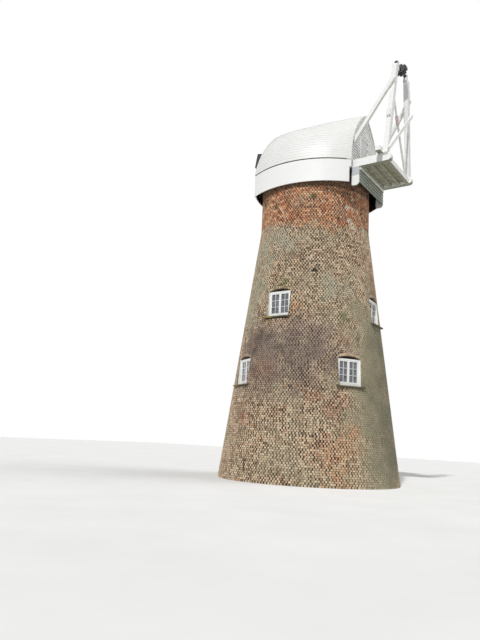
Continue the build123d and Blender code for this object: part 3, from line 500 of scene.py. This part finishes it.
def solid(name, tubes, sides=4):
    """An object of closed tubes, each a list of corners, ring after ring of so many sides."""
    verts, faces = [], []
    for tube in tubes:
        first, last = len(verts), len(verts) + len(tube) - sides
        faces += [tuple(range(end, end + sides)) for end in (first, last)]
        for a in range(first, last):
            b = a + 1 if (a + 1 - first) % sides else a + 1 - sides
            faces.append((a, b, b + sides, a + sides))
        verts += tube
    return raw_object(name, verts, faces)


def box(spans, axes=UNIT, origin=Vector()):
    """The tube of a box with a span along each of three axes."""
    (a, b), (c, d), ends = spans
    corners = ((a, c), (b, c), (b, d), (a, d))
    return [origin + axes[0] * x + axes[1] * y + axes[2] * z for z in ends for x, y in corners]


def dress(piece, slot, body, finish=None, replaced=()):
    """Give a piece its slot's finish or its own, and put it on its body."""
    if not piece.data.materials:
        piece.data.materials.append(finish or finishes[slot])
    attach(piece, body)
    if replaced:
        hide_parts(*replaced)


def new_piece(name, tubes, slot, body, finish=None, replaced=()):
    """A piece of closed four-sided tubes in its place, dressed."""
    dress(solid(name, tubes), slot, body, finish, replaced)


def evaluated_mesh(source):
    """The plain mesh that an object's modifiers make."""
    bpy.context.view_layer.update()
    return bpy.data.meshes.new_from_object(source.evaluated_get(bpy.context.evaluated_depsgraph_get()))


def outer_radius(level):
    """Radius of the brick face at a level."""
    return max(TOWER_TOP_RADIUS, TOWER_BASE_RADIUS - SLOPE * level)


def inner_radius(level):
    """Radius of the inside of the wall at a level."""
    share = min(level, BAND_START) / BAND_START
    return outer_radius(level) - BASE_WALL - share * (TOP_WALL - BASE_WALL)


def wall_ways(angle):
    """The ways out of the wall and across it at an angle."""
    return Vector((math.cos(angle), math.sin(angle), 0)), Vector((-math.sin(angle), math.cos(angle), 0))


# Openings in the tower: angle, foot, half width, spring above the foot, rise of the arch
openings = [
    (math.radians(angle), sill - SILL_HEIGHT, WINDOW_WIDTH / 2, WINDOW_SPRING + SILL_HEIGHT, WINDOW_RISE)
    for angle, sill in WINDOWS
]
openings.append((math.radians(DOORWAY_ANGLE), SLAB, DOORWAY_WIDTH / 2, DOORWAY_SPRING, DOORWAY_RISE))


def arch_circle(half, spring, rise):
    """Radius of a low arch, and the level of its centre above the opening's foot."""
    radius = (half**2 + rise**2) / (2 * rise)
    return radius, spring + rise - radius


def blocked_half(opening, low, high):
    """Half the width that an opening and its arch take from a course, or nothing."""
    angle, foot, half, spring, rise = opening
    level = (low + high) / 2 - foot
    radius, centre = arch_circle(half, spring, rise)
    outer = radius + ARCH_RING
    if high - foot < 0.01 or level > centre + outer:
        return 0
    if level < spring:
        return half
    lean = math.tan(math.asin(half / radius))
    return min(half + (level - spring) * lean, math.sqrt(outer**2 - (level - centre) ** 2))


def wall_turn(angle, lean, roll=0):
    """Turn of a brick on the wall, rolled in the wall's plane."""
    radial, across = wall_ways(angle)
    out = radial * math.cos(lean) + UP * math.sin(lean)
    axes = Matrix((across, out, out.cross(across) * -1)).transposed()
    return (axes @ Matrix.Rotation(roll, 3, "Y")).to_euler()


def bricks_of(low, high):
    """Places, turns and sizes of all bricks between two levels."""
    found = []
    for row in range(COURSES):
        foot, head = row * COURSE, (row + 1) * COURSE
        middle = (foot + head) / 2
        if not low <= middle < high:
            continue
        radius = outer_radius(middle)
        lean = BATTER if middle < BAND_START else 0
        level = middle + (0 if row else MILLIMETRE)
        count = round(math.tau * radius / BRICK_PITCH)
        step = math.tau / count
        gaps = []
        for opening in openings:
            half = blocked_half(opening, foot, head)
            if half:
                reach = math.asin(half / radius)
                for turn in (-math.tau, 0, math.tau):
                    gaps.append((opening[0] - reach + turn, opening[0] + reach + turn))
        draw = random.Random(row)
        halves = [SIDE_JOINT / 2 * draw.uniform(*SIDE_VARIES) for i in range(count + 1)]
        heights = [COURSE - BED_JOINT * draw.uniform(*BED_VARIES) for i in range(count)]
        bond = 0.5 * (row % 2) + draw.uniform(-BOND_DRIFT, BOND_DRIFT)
        for i in range(count):
            start = NEAR_SIDE + (i + bond - count // 2) * step
            runs = [(start + halves[i] / radius, start + step - halves[i + 1] / radius)]
            for left, right in gaps:
                sides = [side for a, b in runs for side in ((a, min(b, left)), (max(a, right), b))]
                runs = [(a, b) for a, b in sides if a < b]
            for a, b in runs:
                angle, width = (a + b) / 2, (b - a) * radius
                spot = (radius * math.cos(angle), radius * math.sin(angle), level)
                if width > SMALLEST_BAT and (Vector(spot) - LOST_BRICK).length > LOST_REACH:
                    found.append((spot, wall_turn(angle, lean), (width, 1, heights[i])))
    for angle, foot, half, spring, rise in openings:
        if not low <= foot + spring < high:
            continue
        radius, centre = arch_circle(half, spring, rise)
        sweep = math.asin(half / radius)
        count = round(2 * sweep * radius / COURSE) // 2 * 2 + 1
        size = (2 * sweep * radius / count - BED_JOINT, 1, ARCH_RING - BED_JOINT)
        for i in range(count):
            tilt = (i + 0.5 - count / 2) * 2 * sweep / count
            level = foot + centre + (radius + ARCH_RING / 2) * math.cos(tilt)
            reach = outer_radius(level) + ARCH_PROUD
            turn = angle + math.asin((radius + ARCH_RING / 2) * math.sin(tilt) / reach)
            spot = (reach * math.cos(turn), reach * math.sin(turn), level)
            found.append((spot, wall_turn(turn, BATTER, tilt), size))
    return found


# Tree that sets one copy of a shape at each point, by the point's own turn and size
lay_tree = bpy.data.node_groups.new("lay_pieces", "GeometryNodeTree")
for label, way, kind in (
    ("Geometry", "INPUT", "Geometry"), ("Geometry", "OUTPUT", "Geometry"), ("Shape", "INPUT", "Object"),
    ("Unevenness", "INPUT", "Float"), ("Seed", "INPUT", "Int"), ("Finish", "INPUT", "Material"),
):
    lay_tree.interface.new_socket(label, in_out=way, socket_type="NodeSocket" + kind)


def lay_node(kind, inputs=None, **settings):
    """The outputs of a new node in the laying tree."""
    return add_node(lay_tree, kind, inputs, **settings).outputs


given = lay_node("NodeGroupInput")
read = {
    word: lay_node("GeometryNodeInputNamedAttribute", {"Name": word}, data_type="FLOAT_VECTOR")[0]
    for word in ("turn", "size")
}
laid = lay_node("GeometryNodeInstanceOnPoints", {
    "Points": given["Geometry"],
    "Instance": lay_node("GeometryNodeObjectInfo", {"Object": given["Shape"]})["Geometry"],
    "Rotation": lay_node("FunctionNodeEulerToRotation", {0: read["turn"]})[0],
    "Scale": read["size"],
})[0]
# Each copy is pushed back a little by its own draw, and another draw gives it its tone
push = lay_node("FunctionNodeRandomValue", {"Seed": given["Seed"]}, data_type="FLOAT")[1]
depth = lay_node("ShaderNodeMath", {0: push, 1: given["Unevenness"]}, operation="MULTIPLY")[0]
back = lay_node("ShaderNodeMath", {0: depth, 1: -1.0}, operation="MULTIPLY")[0]
shift = lay_node("ShaderNodeCombineXYZ", {1: back})[0]
laid = lay_node("GeometryNodeTranslateInstances", {"Instances": laid, "Translation": shift})[0]
tone_seed = lay_node("ShaderNodeMath", {0: given["Seed"], 1: 7.0}, operation="ADD")[0]
tone = lay_node("FunctionNodeRandomValue", {"Seed": tone_seed}, data_type="FLOAT")[1]
laid = lay_node(
    "GeometryNodeStoreNamedAttribute", {"Geometry": laid, "Name": "tone", "Value": tone},
    data_type="FLOAT", domain="INSTANCE",
)[0]
laid = lay_node("GeometryNodeRealizeInstances", {0: laid})[0]
for word in read:
    laid = lay_node("GeometryNodeRemoveAttribute", {"Geometry": laid, "Name": word})[0]
laid = lay_node("GeometryNodeSetMaterial", {"Geometry": laid, "Material": given["Finish"]})[0]
lay_node("NodeGroupOutput", {0: laid})


def laid_pieces(name, places, shape, slot, body, unevenness=0.0, seed=1):
    """One mesh of copies of a shape, each with its own place, turn and size."""
    mesh = bpy.data.meshes.new(name + "_places")
    mesh.from_pydata([place for place, turn, size in places], [], [])
    for label, column in (("turn", 1), ("size", 2)):
        values = mesh.attributes.new(label, "FLOAT_VECTOR", "POINT")
        values.data.foreach_set("vector", [float(v) for row in places for v in row[column]])
    source = bpy.data.objects.new(name + "_places", mesh)
    link(source)
    modifier = source.modifiers.new("lay", "NODES")
    modifier.node_group = lay_tree
    values = {"Shape": shape, "Unevenness": unevenness, "Seed": seed, "Finish": finishes[slot]}
    for item in lay_tree.interface.items_tree:
        if item.name in values:
            modifier[item.identifier] = values[item.name]
    made = evaluated_mesh(source)
    made.name = name
    bpy.data.objects.remove(source)
    piece = bpy.data.objects.new(name, made)
    link(piece)
    dress(piece, slot, body)


# Mortar core of the tower: four rings with their openings, behind the brick faces
ARCH_STEPS = 12
CUTTER_REACH = (1.0, 4.0)


def ring_core(name, low, high, segments=240):
    """A closed ring of wall between two levels."""
    levels = [(low, inner_radius(low)), (low, outer_radius(low) - JOINT_DEPTH)]
    levels += [(high, outer_radius(high) - JOINT_DEPTH), (high, inner_radius(high))]
    verts, faces = [], []
    for i in range(segments):
        angle = math.tau * i / segments
        verts += [(r * math.cos(angle), r * math.sin(angle), z) for z, r in levels]
        a, b = 4 * i, 4 * ((i + 1) % segments)
        faces += [(a + k, b + k, b + (k + 1) % 4, a + (k + 1) % 4) for k in range(4)]
    return raw_object(name, verts, faces)


def opening_cutters(low, high):
    """Prisms for the openings that start between two levels."""
    prisms = []
    for angle, foot, half, spring, rise in openings:
        if low <= foot < high:
            radius, centre = arch_circle(half, spring, rise)
            turns = [math.asin(half / radius) * (1 - 2 * i / ARCH_STEPS) for i in range(ARCH_STEPS + 1)]
            outline = [(-half, 0), (half, 0)]
            outline += [(radius * math.sin(t), centre + radius * math.cos(t)) for t in turns]
            cos, sin = math.cos(angle), math.sin(angle)
            prisms.append([
                (reach * cos - s * sin, reach * sin + s * cos, foot + h)
                for reach in CUTTER_REACH
                for s, h in outline
            ])
    return prisms


# The brick's shown end, a block behind y = 0 with its front edges worn off
BRICK_RINGS = ((0.45, 0.44, 0), (0.5, 0.5, 0.004), (0.5, 0.5, JOINT_DEPTH + 0.004))
CORNERS = ((-1, -1), (1, -1), (1, 1), (-1, 1))
brick_end = solid("brick_end", [[(a * x, -y, b * z) for x, z, y in BRICK_RINGS for a, b in CORNERS]])
rings = (
    ("ground", 0, FLOORS[0], "brickwork"),
    ("first", FLOORS[0], FLOORS[1], "brickwork"),
    ("second", FLOORS[1], BAND_START, "brickwork"),
    ("band", BAND_START, TOWER_HEIGHT, "red_brickwork"),
)
for order, (ring, low, high, slot) in enumerate(rings):
    core = ring_core(ring + "_wall_core", low, high)
    prisms = opening_cutters(low, high)
    if prisms:
        cutter = solid("cutters", prisms, ARCH_STEPS + 3)
        cut = core.modifiers.new("cut", "BOOLEAN")
        cut.object = cutter
        cut.operation = "DIFFERENCE"
        cut.solver = "EXACT"
        mesh = evaluated_mesh(core)
        core.modifiers.clear()
        core.data = mesh
        bpy.data.objects.remove(cutter)
    for finish in (mortar, lining):
        core.data.materials.append(finish)
    for face in core.data.polygons:
        radial = Vector((face.center.x, face.center.y, 0)).normalized()
        face.material_index = 0 if face.normal.dot(radial) > 0.8 else 1
    dress(core, slot, "tower", replaced=(ring + "_wall_a", ring + "_wall_b"))
    laid_pieces(ring + "_bricks", bricks_of(low, high), brick_end, slot, "tower", 0.003, 11 + order)
bpy.data.objects.remove(brick_end)

# Casements: stiles and rails round each light, one upright bar and two level ones
GLASS_WIDTH = (WINDOW_WIDTH - MULLION) / 2 - FRAME_WIDTH
GLASS_HEIGHT = WINDOW_SPRING - FRAME_WIDTH - BOTTOM_RAIL
HANGING_STILE = 0.036
MEETING_STILE = 0.012
TOP_RAIL = 0.03
FOOT_RAIL = 0.042
BAR = 0.015
STILE_DEPTHS = (0.052, 0.082)
BAR_DEPTHS = (0.052, 0.074)
# White linings in the sides of the window openings, cut to the lean of the wall
LINING = 0.014
LINING_INSET = 0.005
LINING_REACH = 0.1
bars, linings = [], []
for degrees, sill in WINDOWS:
    out, across = wall_ways(math.radians(degrees))
    face = outer_radius(sill + WINDOW_SPRING) - WINDOW_REVEAL
    thick, thin = ([face - FRAME_DEPTH + d for d in depths] for depths in (STILE_DEPTHS, BAR_DEPTHS))
    foot = sill + BOTTOM_RAIL
    head = foot + GLASS_HEIGHT
    clear = (foot + FOOT_RAIL, head - TOP_RAIL)
    front = face + MILLIMETRE
    ends = []
    for level in (sill, sill + WINDOW_SPRING):
        edge = math.sqrt(outer_radius(level) ** 2 - (WINDOW_WIDTH / 2) ** 2) - LINING_INSET
        ends.append((min(edge, front + LINING_REACH), level))
    for side in (-1, 1):
        meeting = side * MULLION / 2
        inner = meeting + side * MEETING_STILE
        hanging = meeting + side * GLASS_WIDTH
        outer = hanging - side * HANGING_STILE
        light = sorted((inner, outer))
        middle = sum(light) / 2
        spans = [
            (sorted((meeting, inner)), thick, (foot, head)),
            (sorted((outer, hanging)), thick, (foot, head)),
            (light, thick, (foot, clear[0])),
            (light, thick, (clear[1], head)),
            ((middle - BAR / 2, middle + BAR / 2), thin, clear),
        ]
        for share in (1 / 3, 2 / 3):
            level = foot + FOOT_RAIL + share * (GLASS_HEIGHT - FOOT_RAIL - TOP_RAIL)
            spans.append((light, thin, (level - BAR / 2, level + BAR / 2)))
        bars += [box(span, (across, out, UP)) for span in spans]
        ring = ((front, sill), *ends, (front, sill + WINDOW_SPRING))
        places = [side * (WINDOW_WIDTH / 2 - inset) for inset in (0, LINING)]
        linings.append([out * depth + across * place + UP * level for place in places for depth, level in ring])
new_piece("casement_bars", bars, "white_timber", "tower")
new_piece("window_linings", linings, "white_timber", "tower")

# Upright boards on the face of a door leaf, and on the foot door two ledges across them
BOARD_GAP = 0.008
LEAF_TRIM = 0.003
LEDGE_LEVELS = (0.35, 1.5)
LEDGE_HEIGHT = 0.13
LEDGE_TRIM = 0.03


def door_boards(name, node, out, across, count, thickness, slot, body, ledges=()):
    """Upright boards over a door leaf's outer face, with a ledge at each level given above its foot."""
    corners = [v.co for v in nodes[node].data.vertices]
    face = max(c.dot(out) for c in corners)
    left, right = (pick(c.dot(across) for c in corners) for pick in (min, max))
    foot, head = (pick(c.z for c in corners) for pick in (min, max))
    width = (right - left) / count
    spans = []
    for i in range(count):
        edges = (left + i * width + BOARD_GAP / 2, left + (i + 1) * width - BOARD_GAP / 2)
        spans.append((edges, (face - MILLIMETRE, face + thickness), (foot + LEAF_TRIM, head - LEAF_TRIM)))
    for level in ledges:
        depths = (face + thickness, face + 2.2 * thickness)
        heights = (foot + level, foot + level + LEDGE_HEIGHT)
        spans.append(((left + LEDGE_TRIM, right - LEDGE_TRIM), depths, heights))
    new_piece(name, [box(span, (across, out, UP)) for span in spans], slot, body)


door_boards(
    "foot_door_boards", "tower_door", *wall_ways(math.radians(DOORWAY_ANGLE)), 6, 0.012,
    "white_timber", "tower", LEDGE_LEVELS,
)
door_boards("cap_door_boards", "cap_door", *UNIT[:2], 5, 0.005, "pale_grey_timber", "door")

# Cap roof: lapped boards that follow the shell from the rear edge to the leaning front
LAP_STRAKES = 30
STATIONS = 26
BOARD_LIP = 0.013
BOARD_TOP = 0.005
BOARD_LAP = 0.02
BOARD_TRIM = 0.002
SUNK = 0.004
# Share of the roof's length behind the part that leans with the front
UPRIGHT_SHARE = 0.75
# Rays from outside that find the roof, in degrees from level
RAYS = 61
FIRST_RAY = 0.2
RAY_STEP = 1.49
RAY_REACH = 6


def shell_of(*names):
    """A searchable surface of some nodes."""
    verts, faces = [], []
    for name in names:
        mesh = nodes[name].data
        first = len(verts)
        verts += [v.co.copy() for v in mesh.vertices]
        faces += [tuple(first + i for i in p.vertices) for p in mesh.polygons]
    return BVHTree.FromPolygons(verts, faces)


roof = shell_of("roof_left", "roof_right")


def roof_section(x, lean, side):
    """Points up one side of the roof, evenly spaced, with the ways out and along at each."""
    up = Vector((math.sin(lean), 0, math.cos(lean)))
    out = Vector((0, side, 0))
    foot = Vector((x, 0, SEAM))
    raw = []
    for i in range(RAYS):
        turn = math.radians(FIRST_RAY + i * RAY_STEP)
        way = out * math.cos(turn) + up * math.sin(turn)
        hit = roof.ray_cast(foot + way * RAY_REACH, -way)[0]
        if hit is not None:
            raw.append(hit)
    lengths = [0.0]
    for a, b in zip(raw, raw[1:]):
        lengths.append(lengths[-1] + (b - a).length)
    points, k = [], 0
    for i in range(LAP_STRAKES + 1):
        goal = lengths[-1] * i / LAP_STRAKES
        while k < len(raw) - 2 and lengths[k + 1] < goal:
            k += 1
        share = (goal - lengths[k]) / max(1e-9, lengths[k + 1] - lengths[k])
        points.append(raw[k].lerp(raw[k + 1], share))
    axis = out.cross(up)
    result = []
    for i, point in enumerate(points):
        along = (points[min(i + 1, LAP_STRAKES)] - points[max(i - 1, 0)]).normalized()
        normal = along.cross(axis).normalized()
        if normal.dot(point - foot) < 0:
            normal = -normal
        result.append((point, normal, along))
    return result


for side, name in ((1, "roof_boards_left"), (-1, "roof_boards_right")):
    sections = []
    for k in range(STATIONS + 1):
        share = k / STATIONS
        lean = SHAFT_TILT * max(0, (share - UPRIGHT_SHARE) / (1 - UPRIGHT_SHARE))
        x = ROOF_REAR - BOARD_TRIM + share * (FRONT_X + 2 * BOARD_TRIM - ROOF_REAR)
        sections.append(roof_section(x, lean, side))
    boards = []
    for i in range(LAP_STRAKES):
        lap = BOARD_LAP if i < LAP_STRAKES - 1 else -BOARD_TRIM
        board = []
        for section in sections:
            (low, low_out, low_up), (high, high_out, high_up) = section[i:i + 2]
            tail = high + high_up * lap
            ring = [low - low_out * SUNK, low + low_out * BOARD_LIP]
            ring += [tail + high_out * BOARD_TOP, tail - high_out * SUNK]
            board += ring[::side]
        boards.append(board)
    new_piece(name, boards, "white_boards", "cap")

# Verge board round the leaning front edge of the roof, proud of the laps
VERGE_WIDTH = 0.085
VERGE_LIP = 0.024
for side, name in ((1, "front_verge_left"), (-1, "front_verge_right")):
    fore, aft = (roof_section(x, SHAFT_TILT, side) for x in (FRONT_X + 2 * BOARD_TRIM, FRONT_X + VERGE_WIDTH))
    verge = []
    for (a, a_out, a_up), (b, b_out, b_up) in zip(fore, aft):
        verge += [a - a_out * SUNK, a + a_out * VERGE_LIP, b + b_out * VERGE_LIP, b - b_out * SUNK]
    new_piece(name, [verge], "white_timber", "cap")

# Dark strip in the seam between the petticoat and the lowest roof board, painted shade of the open gap, and
# closing boards that carry the petticoat on to the gable in the same sweep, shorter below the sheers
skirt = shell_of("petticoat_sides")
SEAM_HEIGHT = 0.03
SEAM_PROUD = 0.004
PETTICOAT_END = 2.05
SEAM_START = FRONT_X + 0.02
SEAM_LENGTH = PETTICOAT_END - 0.03 - FRONT_X
END_STEP = SHEER_UNDERSIDE - 0.03
END_BOARDS = ((RIM, END_STEP, 2.11), (END_STEP, SEAM - MILLIMETRE, 2.165))


def skirt_face(x, side):
    """How far out the petticoat's face is at a distance along the cap."""
    return skirt.ray_cast(Vector((x, side * 4, SEAM - 0.2)), Vector((0, -side, 0)))[0].y


def section_ring(x, y, z, other_y, other_z):
    """The four corners of an upright section across the cap."""
    return [(x, y, z), (x, y, other_z), (x, other_y, other_z), (x, other_y, z)]


seam_shade_strips, closers = [], []
for side in (-1, 1):
    seam = []
    for i in range(STATIONS + 1):
        x = SEAM_START + i * SEAM_LENGTH / STATIONS
        face = skirt_face(x, side)
        inner, outer = face - side * SUNK, face + side * SEAM_PROUD
        seam += section_ring(x, inner, SEAM - SEAM_HEIGHT, outer, SEAM - MILLIMETRE)
    seam_shade_strips.append(seam)
    # The closing boards follow a curve through three places near the petticoat's end
    near, mid, far = (abs(skirt_face(PETTICOAT_END - d, side)) for d in (0.01, 0.11, 0.21))
    slope, bend = 1.5 * near - 2 * mid + 0.5 * far, 0.5 * near - mid + 0.5 * far
    for foot, head, end in END_BOARDS:
        closer = []
        for x in (PETTICOAT_END - 0.002, (PETTICOAT_END + end) / 2, end):
            t = (x - PETTICOAT_END + 0.01) / 0.1
            face = near + t * slope + t * t * bend
            closer += section_ring(x, side * face, foot, side * (face - SKIRT_THICKNESS), head)
        closers.append(closer)
new_piece("petticoat_seam", seam_shade_strips, "tarred_board", "cap")
new_piece("petticoat_end_boards", closers, "white_timber", "cap", petticoat_paint)

# Boards across the gable and the front, cut to the arch of the roof
CLADDING_LIP = 0.018
CLADDING_HEAD = 0.004
NARROWEST = 0.06
DOOR_SURROUND = 0.1


def half_width(foot, up, height):
    """Half the clear width under the roof at a height up a plane."""
    hit = roof.ray_cast(foot + up * height, UNIT[1])[0]
    return hit.y if hit is not None else 0.0


def clad_arch(name, x, up, out, level, exposure, inset, doorway=(0, 0), finish=None):
    """Lapped boards over an arched wall, square to a plane and left open at a doorway."""
    foot = Vector((x, 0, SEAM))
    gap, lintel = doorway
    boards = []
    while True:
        head = level + exposure
        wide, narrow = (half_width(foot, up, h) - inset for h in (level, head))
        if wide < NARROWEST:
            break
        narrow = max(narrow, 0.01)
        runs = [((-wide, wide), (-narrow, narrow))]
        if level < lintel:
            runs = [((-wide, -gap), (-narrow, -gap)), ((gap, wide), (gap, narrow))]
        for lower, upper in runs:
            board = []
            for height, (a, b), thick in ((level, lower, CLADDING_LIP), (head, upper, CLADDING_HEAD)):
                for y, depth in ((a, -BOARD_TRIM), (b, -BOARD_TRIM), (b, thick), (a, thick)):
                    board.append(foot + up * height + UNIT[1] * y + out * depth)
            boards.append(board)
        level = head
    new_piece(name, boards, "white_boards", "cap", finish)


clad_arch(
    "gable_boards", GABLE_FACE, UP, UNIT[0], DOOR_FOOT - SEAM, 0.115, 0.09,
    (DOOR_WIDTH / 2 + DOOR_SURROUND, DOOR_FOOT + DOOR_HEIGHT + DOOR_SURROUND - SEAM), gable_paint,
)
FRONT_UP = Vector((math.sin(SHAFT_TILT), 0, math.cos(SHAFT_TILT)))
FRONT_OUT = Vector((-math.cos(SHAFT_TILT), 0, math.sin(SHAFT_TILT)))
clad_arch("front_boards", FRONT_X, FRONT_UP, FRONT_OUT, 0.14, 0.135, 0.02)

# Fan stage: planks on cross joists
PLANKS = 12
PLANK_GAP = 0.008
DECK_FOOT = SHEER_UNDERSIDE + 0.13
DECK_THICKNESS = 0.035
DECK_START = GABLE_FACE + 0.045
JOIST_WIDTH = 0.09
JOIST_DEPTH = 0.11
inner_face = SHEER_FACE - SHEER_WIDTH
plank_width = 2 * inner_face / PLANKS
deck = []
for i in range(PLANKS):
    low = -inner_face + i * plank_width + PLANK_GAP / 2
    across = (low, low + plank_width - PLANK_GAP)
    deck.append(box(((DECK_START, STAGE_REAR), across, (DECK_FOOT, DECK_FOOT + DECK_THICKNESS))))
for i in range(5):
    middle = DECK_START + i * (STAGE_REAR - GABLE_FACE - JOIST_WIDTH) / 4
    along = (middle - JOIST_WIDTH / 2, middle + JOIST_WIDTH / 2)
    deck.append(box((along, (-inner_face, inner_face), (DECK_FOOT - JOIST_DEPTH, DECK_FOOT))))
new_piece("stage_planks", deck, "grey_timber", "cap", replaced=("stage_deck",))

# Apron: spaced boards over a near-black tarred backing that is painted shade in the gaps, and a white ledger
# above them
APRON_ROWS = 4
APRON_HEIGHT = 0.5
APRON_GAP = 0.034
APRON_LIP = 0.006
APRON_WIDTH = (0.05 - SHEER_FACE, SHEER_FACE - 0.05)
boards = []
for i in range(APRON_ROWS):
    low = RIM + i * APRON_HEIGHT / APRON_ROWS + APRON_GAP / 2
    high = RIM + (i + 1) * APRON_HEIGHT / APRON_ROWS - APRON_GAP / 2
    boards.append(box(((APRON_FACE - MILLIMETRE, APRON_FACE + APRON_LIP), APRON_WIDTH, (low, high))))
# Paler than the stage boards, with the same faded grey green
apron_finish = timber_material("pale_grey_green_boards", "#C0C6B8", "#8C9484", ALONG_CAP)
new_piece("apron_boards", boards, "grey_timber", "cap", apron_finish)
levels = (RIM + APRON_HEIGHT + 0.01, SHEER_UNDERSIDE - 0.005)
ledger = box(((APRON_FACE - 0.03, APRON_FACE + 0.04), APRON_WIDTH, levels))
new_piece("apron_ledger", [ledger], "white_timber", "cap", cap_timber)

# Splice plate on the brace that climbs to the near post, on its sunny face
BRACE_FOOT = Vector((3.325, 1.157, 12.08))
BRACE_HEAD = Vector((3.443, -0.722, 15.17))
BRACE_FACE = 0.0255
PLATE_SHARE = 0.565
PLATE_SPANS = ((-0.06, 0.03), (-0.075, 0.075), (-0.18, 0.18))
run = (BRACE_HEAD - BRACE_FOOT).normalized()
face_out = (UNIT[0] - run * run.x).normalized()
middle = BRACE_FOOT.lerp(BRACE_HEAD, PLATE_SHARE) + face_out * BRACE_FACE
plate = box(PLATE_SPANS, (face_out, run.cross(face_out), run), middle)
# Chalky pink primer, a little dirty
primer = paint_material("pink_primer_paint", "#DDC9C4", UPRIGHT, 0.2)
new_piece("brace_plate", [plate], "white_timber", "cap", primer)

# Coach bolts where the timbers of the fan frame cross: a low dome on a washer, out along +y
BOLT = 0.016
BOLT_SIDES = 8
BOLT_RINGS = ((0, 1.5), (0.2, 1.5), (0.2, 1), (0.8, 0.85), (1, 0.4))
turns = [math.tau * i / BOLT_SIDES for i in range(BOLT_SIDES)]
dome = [(BOLT * r * math.cos(t), BOLT * y, BOLT * r * math.sin(t)) for y, r in BOLT_RINGS for t in turns]
bolt = solid("bolt", [dome], BOLT_SIDES)
bolts = []
backward = Matrix.Rotation(-math.pi / 2, 3, "Z").to_euler()
for side in (-1, 1):
    sideways = Matrix.Rotation(0 if side > 0 else math.pi, 3, "Z").to_euler()
    face = side * SHEER_FACE
    bolts += [((x, face, SHEER_UNDERSIDE + 0.17), sideways, (1, 1, 1)) for x in (2.3, 2.9, 3.45)]
    bolts += [((x, face, SHEER_TOP - 0.08), sideways, (1, 1, 1)) for x in (3.2, 3.3)]
    bolts += [((STAGE_REAR + 0.04, side * y, SHEER_UNDERSIDE + 0.1), backward, (1, 1, 1)) for y in (0.3, 0.8)]
laid_pieces("frame_bolts", bolts, bolt, "white_timber", "cap")
bpy.data.objects.remove(bolt)

# Camera: the photo's own place, way and angle of view
PHOTO_FOCAL = 594
PHOTO_HEIGHT = 640
SENSOR = 36
eye = Vector((10.552, -20.534, 1.40))
ahead = Vector((-0.55175513, 0.81066634, 0.19592437))
right = Vector((0.83136086, 0.55330882, 0.05185055))
above = Vector((0.06637318, -0.19149266, 0.97924724))
lens = bpy.data.cameras.new("camera")
lens.lens = PHOTO_FOCAL / PHOTO_HEIGHT * SENSOR
lens.sensor_width = SENSOR
lens.clip_end = 300
camera = bpy.data.objects.new("camera", lens)
camera.matrix_world = Matrix.Translation(eye) @ Matrix((right, above, -ahead)).transposed().to_4x4()
link(camera)
bpy.context.scene.camera = camera

# Lamps: the main one stands where the photo's sun does, and a broad weak one fills from the fan's side
for name, energy, softness, towards in (
    ("key", 2.5, 2.5, (0.12, -0.684, 0.719)),
    ("rear", 1.05, 35, (0.472, 0.396, 0.788)),
):
    lamp = bpy.data.lights.new(name, "SUN")
    lamp.energy = energy
    lamp.angle = math.radians(softness)
    sun = bpy.data.objects.new(name, lamp)
    sun.rotation_euler = Vector(towards).to_track_quat("Z", "Y").to_euler()
    link(sun)

# Plain pale floor: smooth and matt, faintly uneven in tone
floor = raw_object("floor", [(-60, -60, 0), (60, -60, 0), (60, 60, 0), (-60, 60, 0)], [(0, 1, 2, 3)])
pale = Finish("pale_floor", 0.9)
pale.colour = pale.ramp(pale.noise(2.0), (0.3, "#E4E4E2"), (0.7, "#EAEAE8"))
floor.data.materials.append(pale.done())

# Soft even light all round, and plain white wherever the background itself is seen
world = bpy.data.worlds.new("studio")
bpy.context.scene.world = world
world.use_nodes = True
tree = world.node_tree
tree.nodes.clear()
paths = add_node(tree, "ShaderNodeLightPath").outputs
seen = paths["Is Camera Ray"]
for ray in ("Is Glossy Ray", "Is Transmission Ray"):
    seen = add_node(tree, "ShaderNodeMath", {0: seen, 1: paths[ray]}, operation="MAXIMUM").outputs[0]
soft, white = (
    add_node(tree, "ShaderNodeBackground", {0: linear(code), 1: strength}).outputs[0]
    for code, strength in (("#F2F4F8", 0.22), ("#FFFFFF", 1.0))
)
both = add_node(tree, "ShaderNodeMixShader", {0: seen, 1: soft, 2: white})
add_node(tree, "ShaderNodeOutputWorld", {0: both.outputs[0]})
bpy.context.scene.view_settings.view_transform = "Standard"
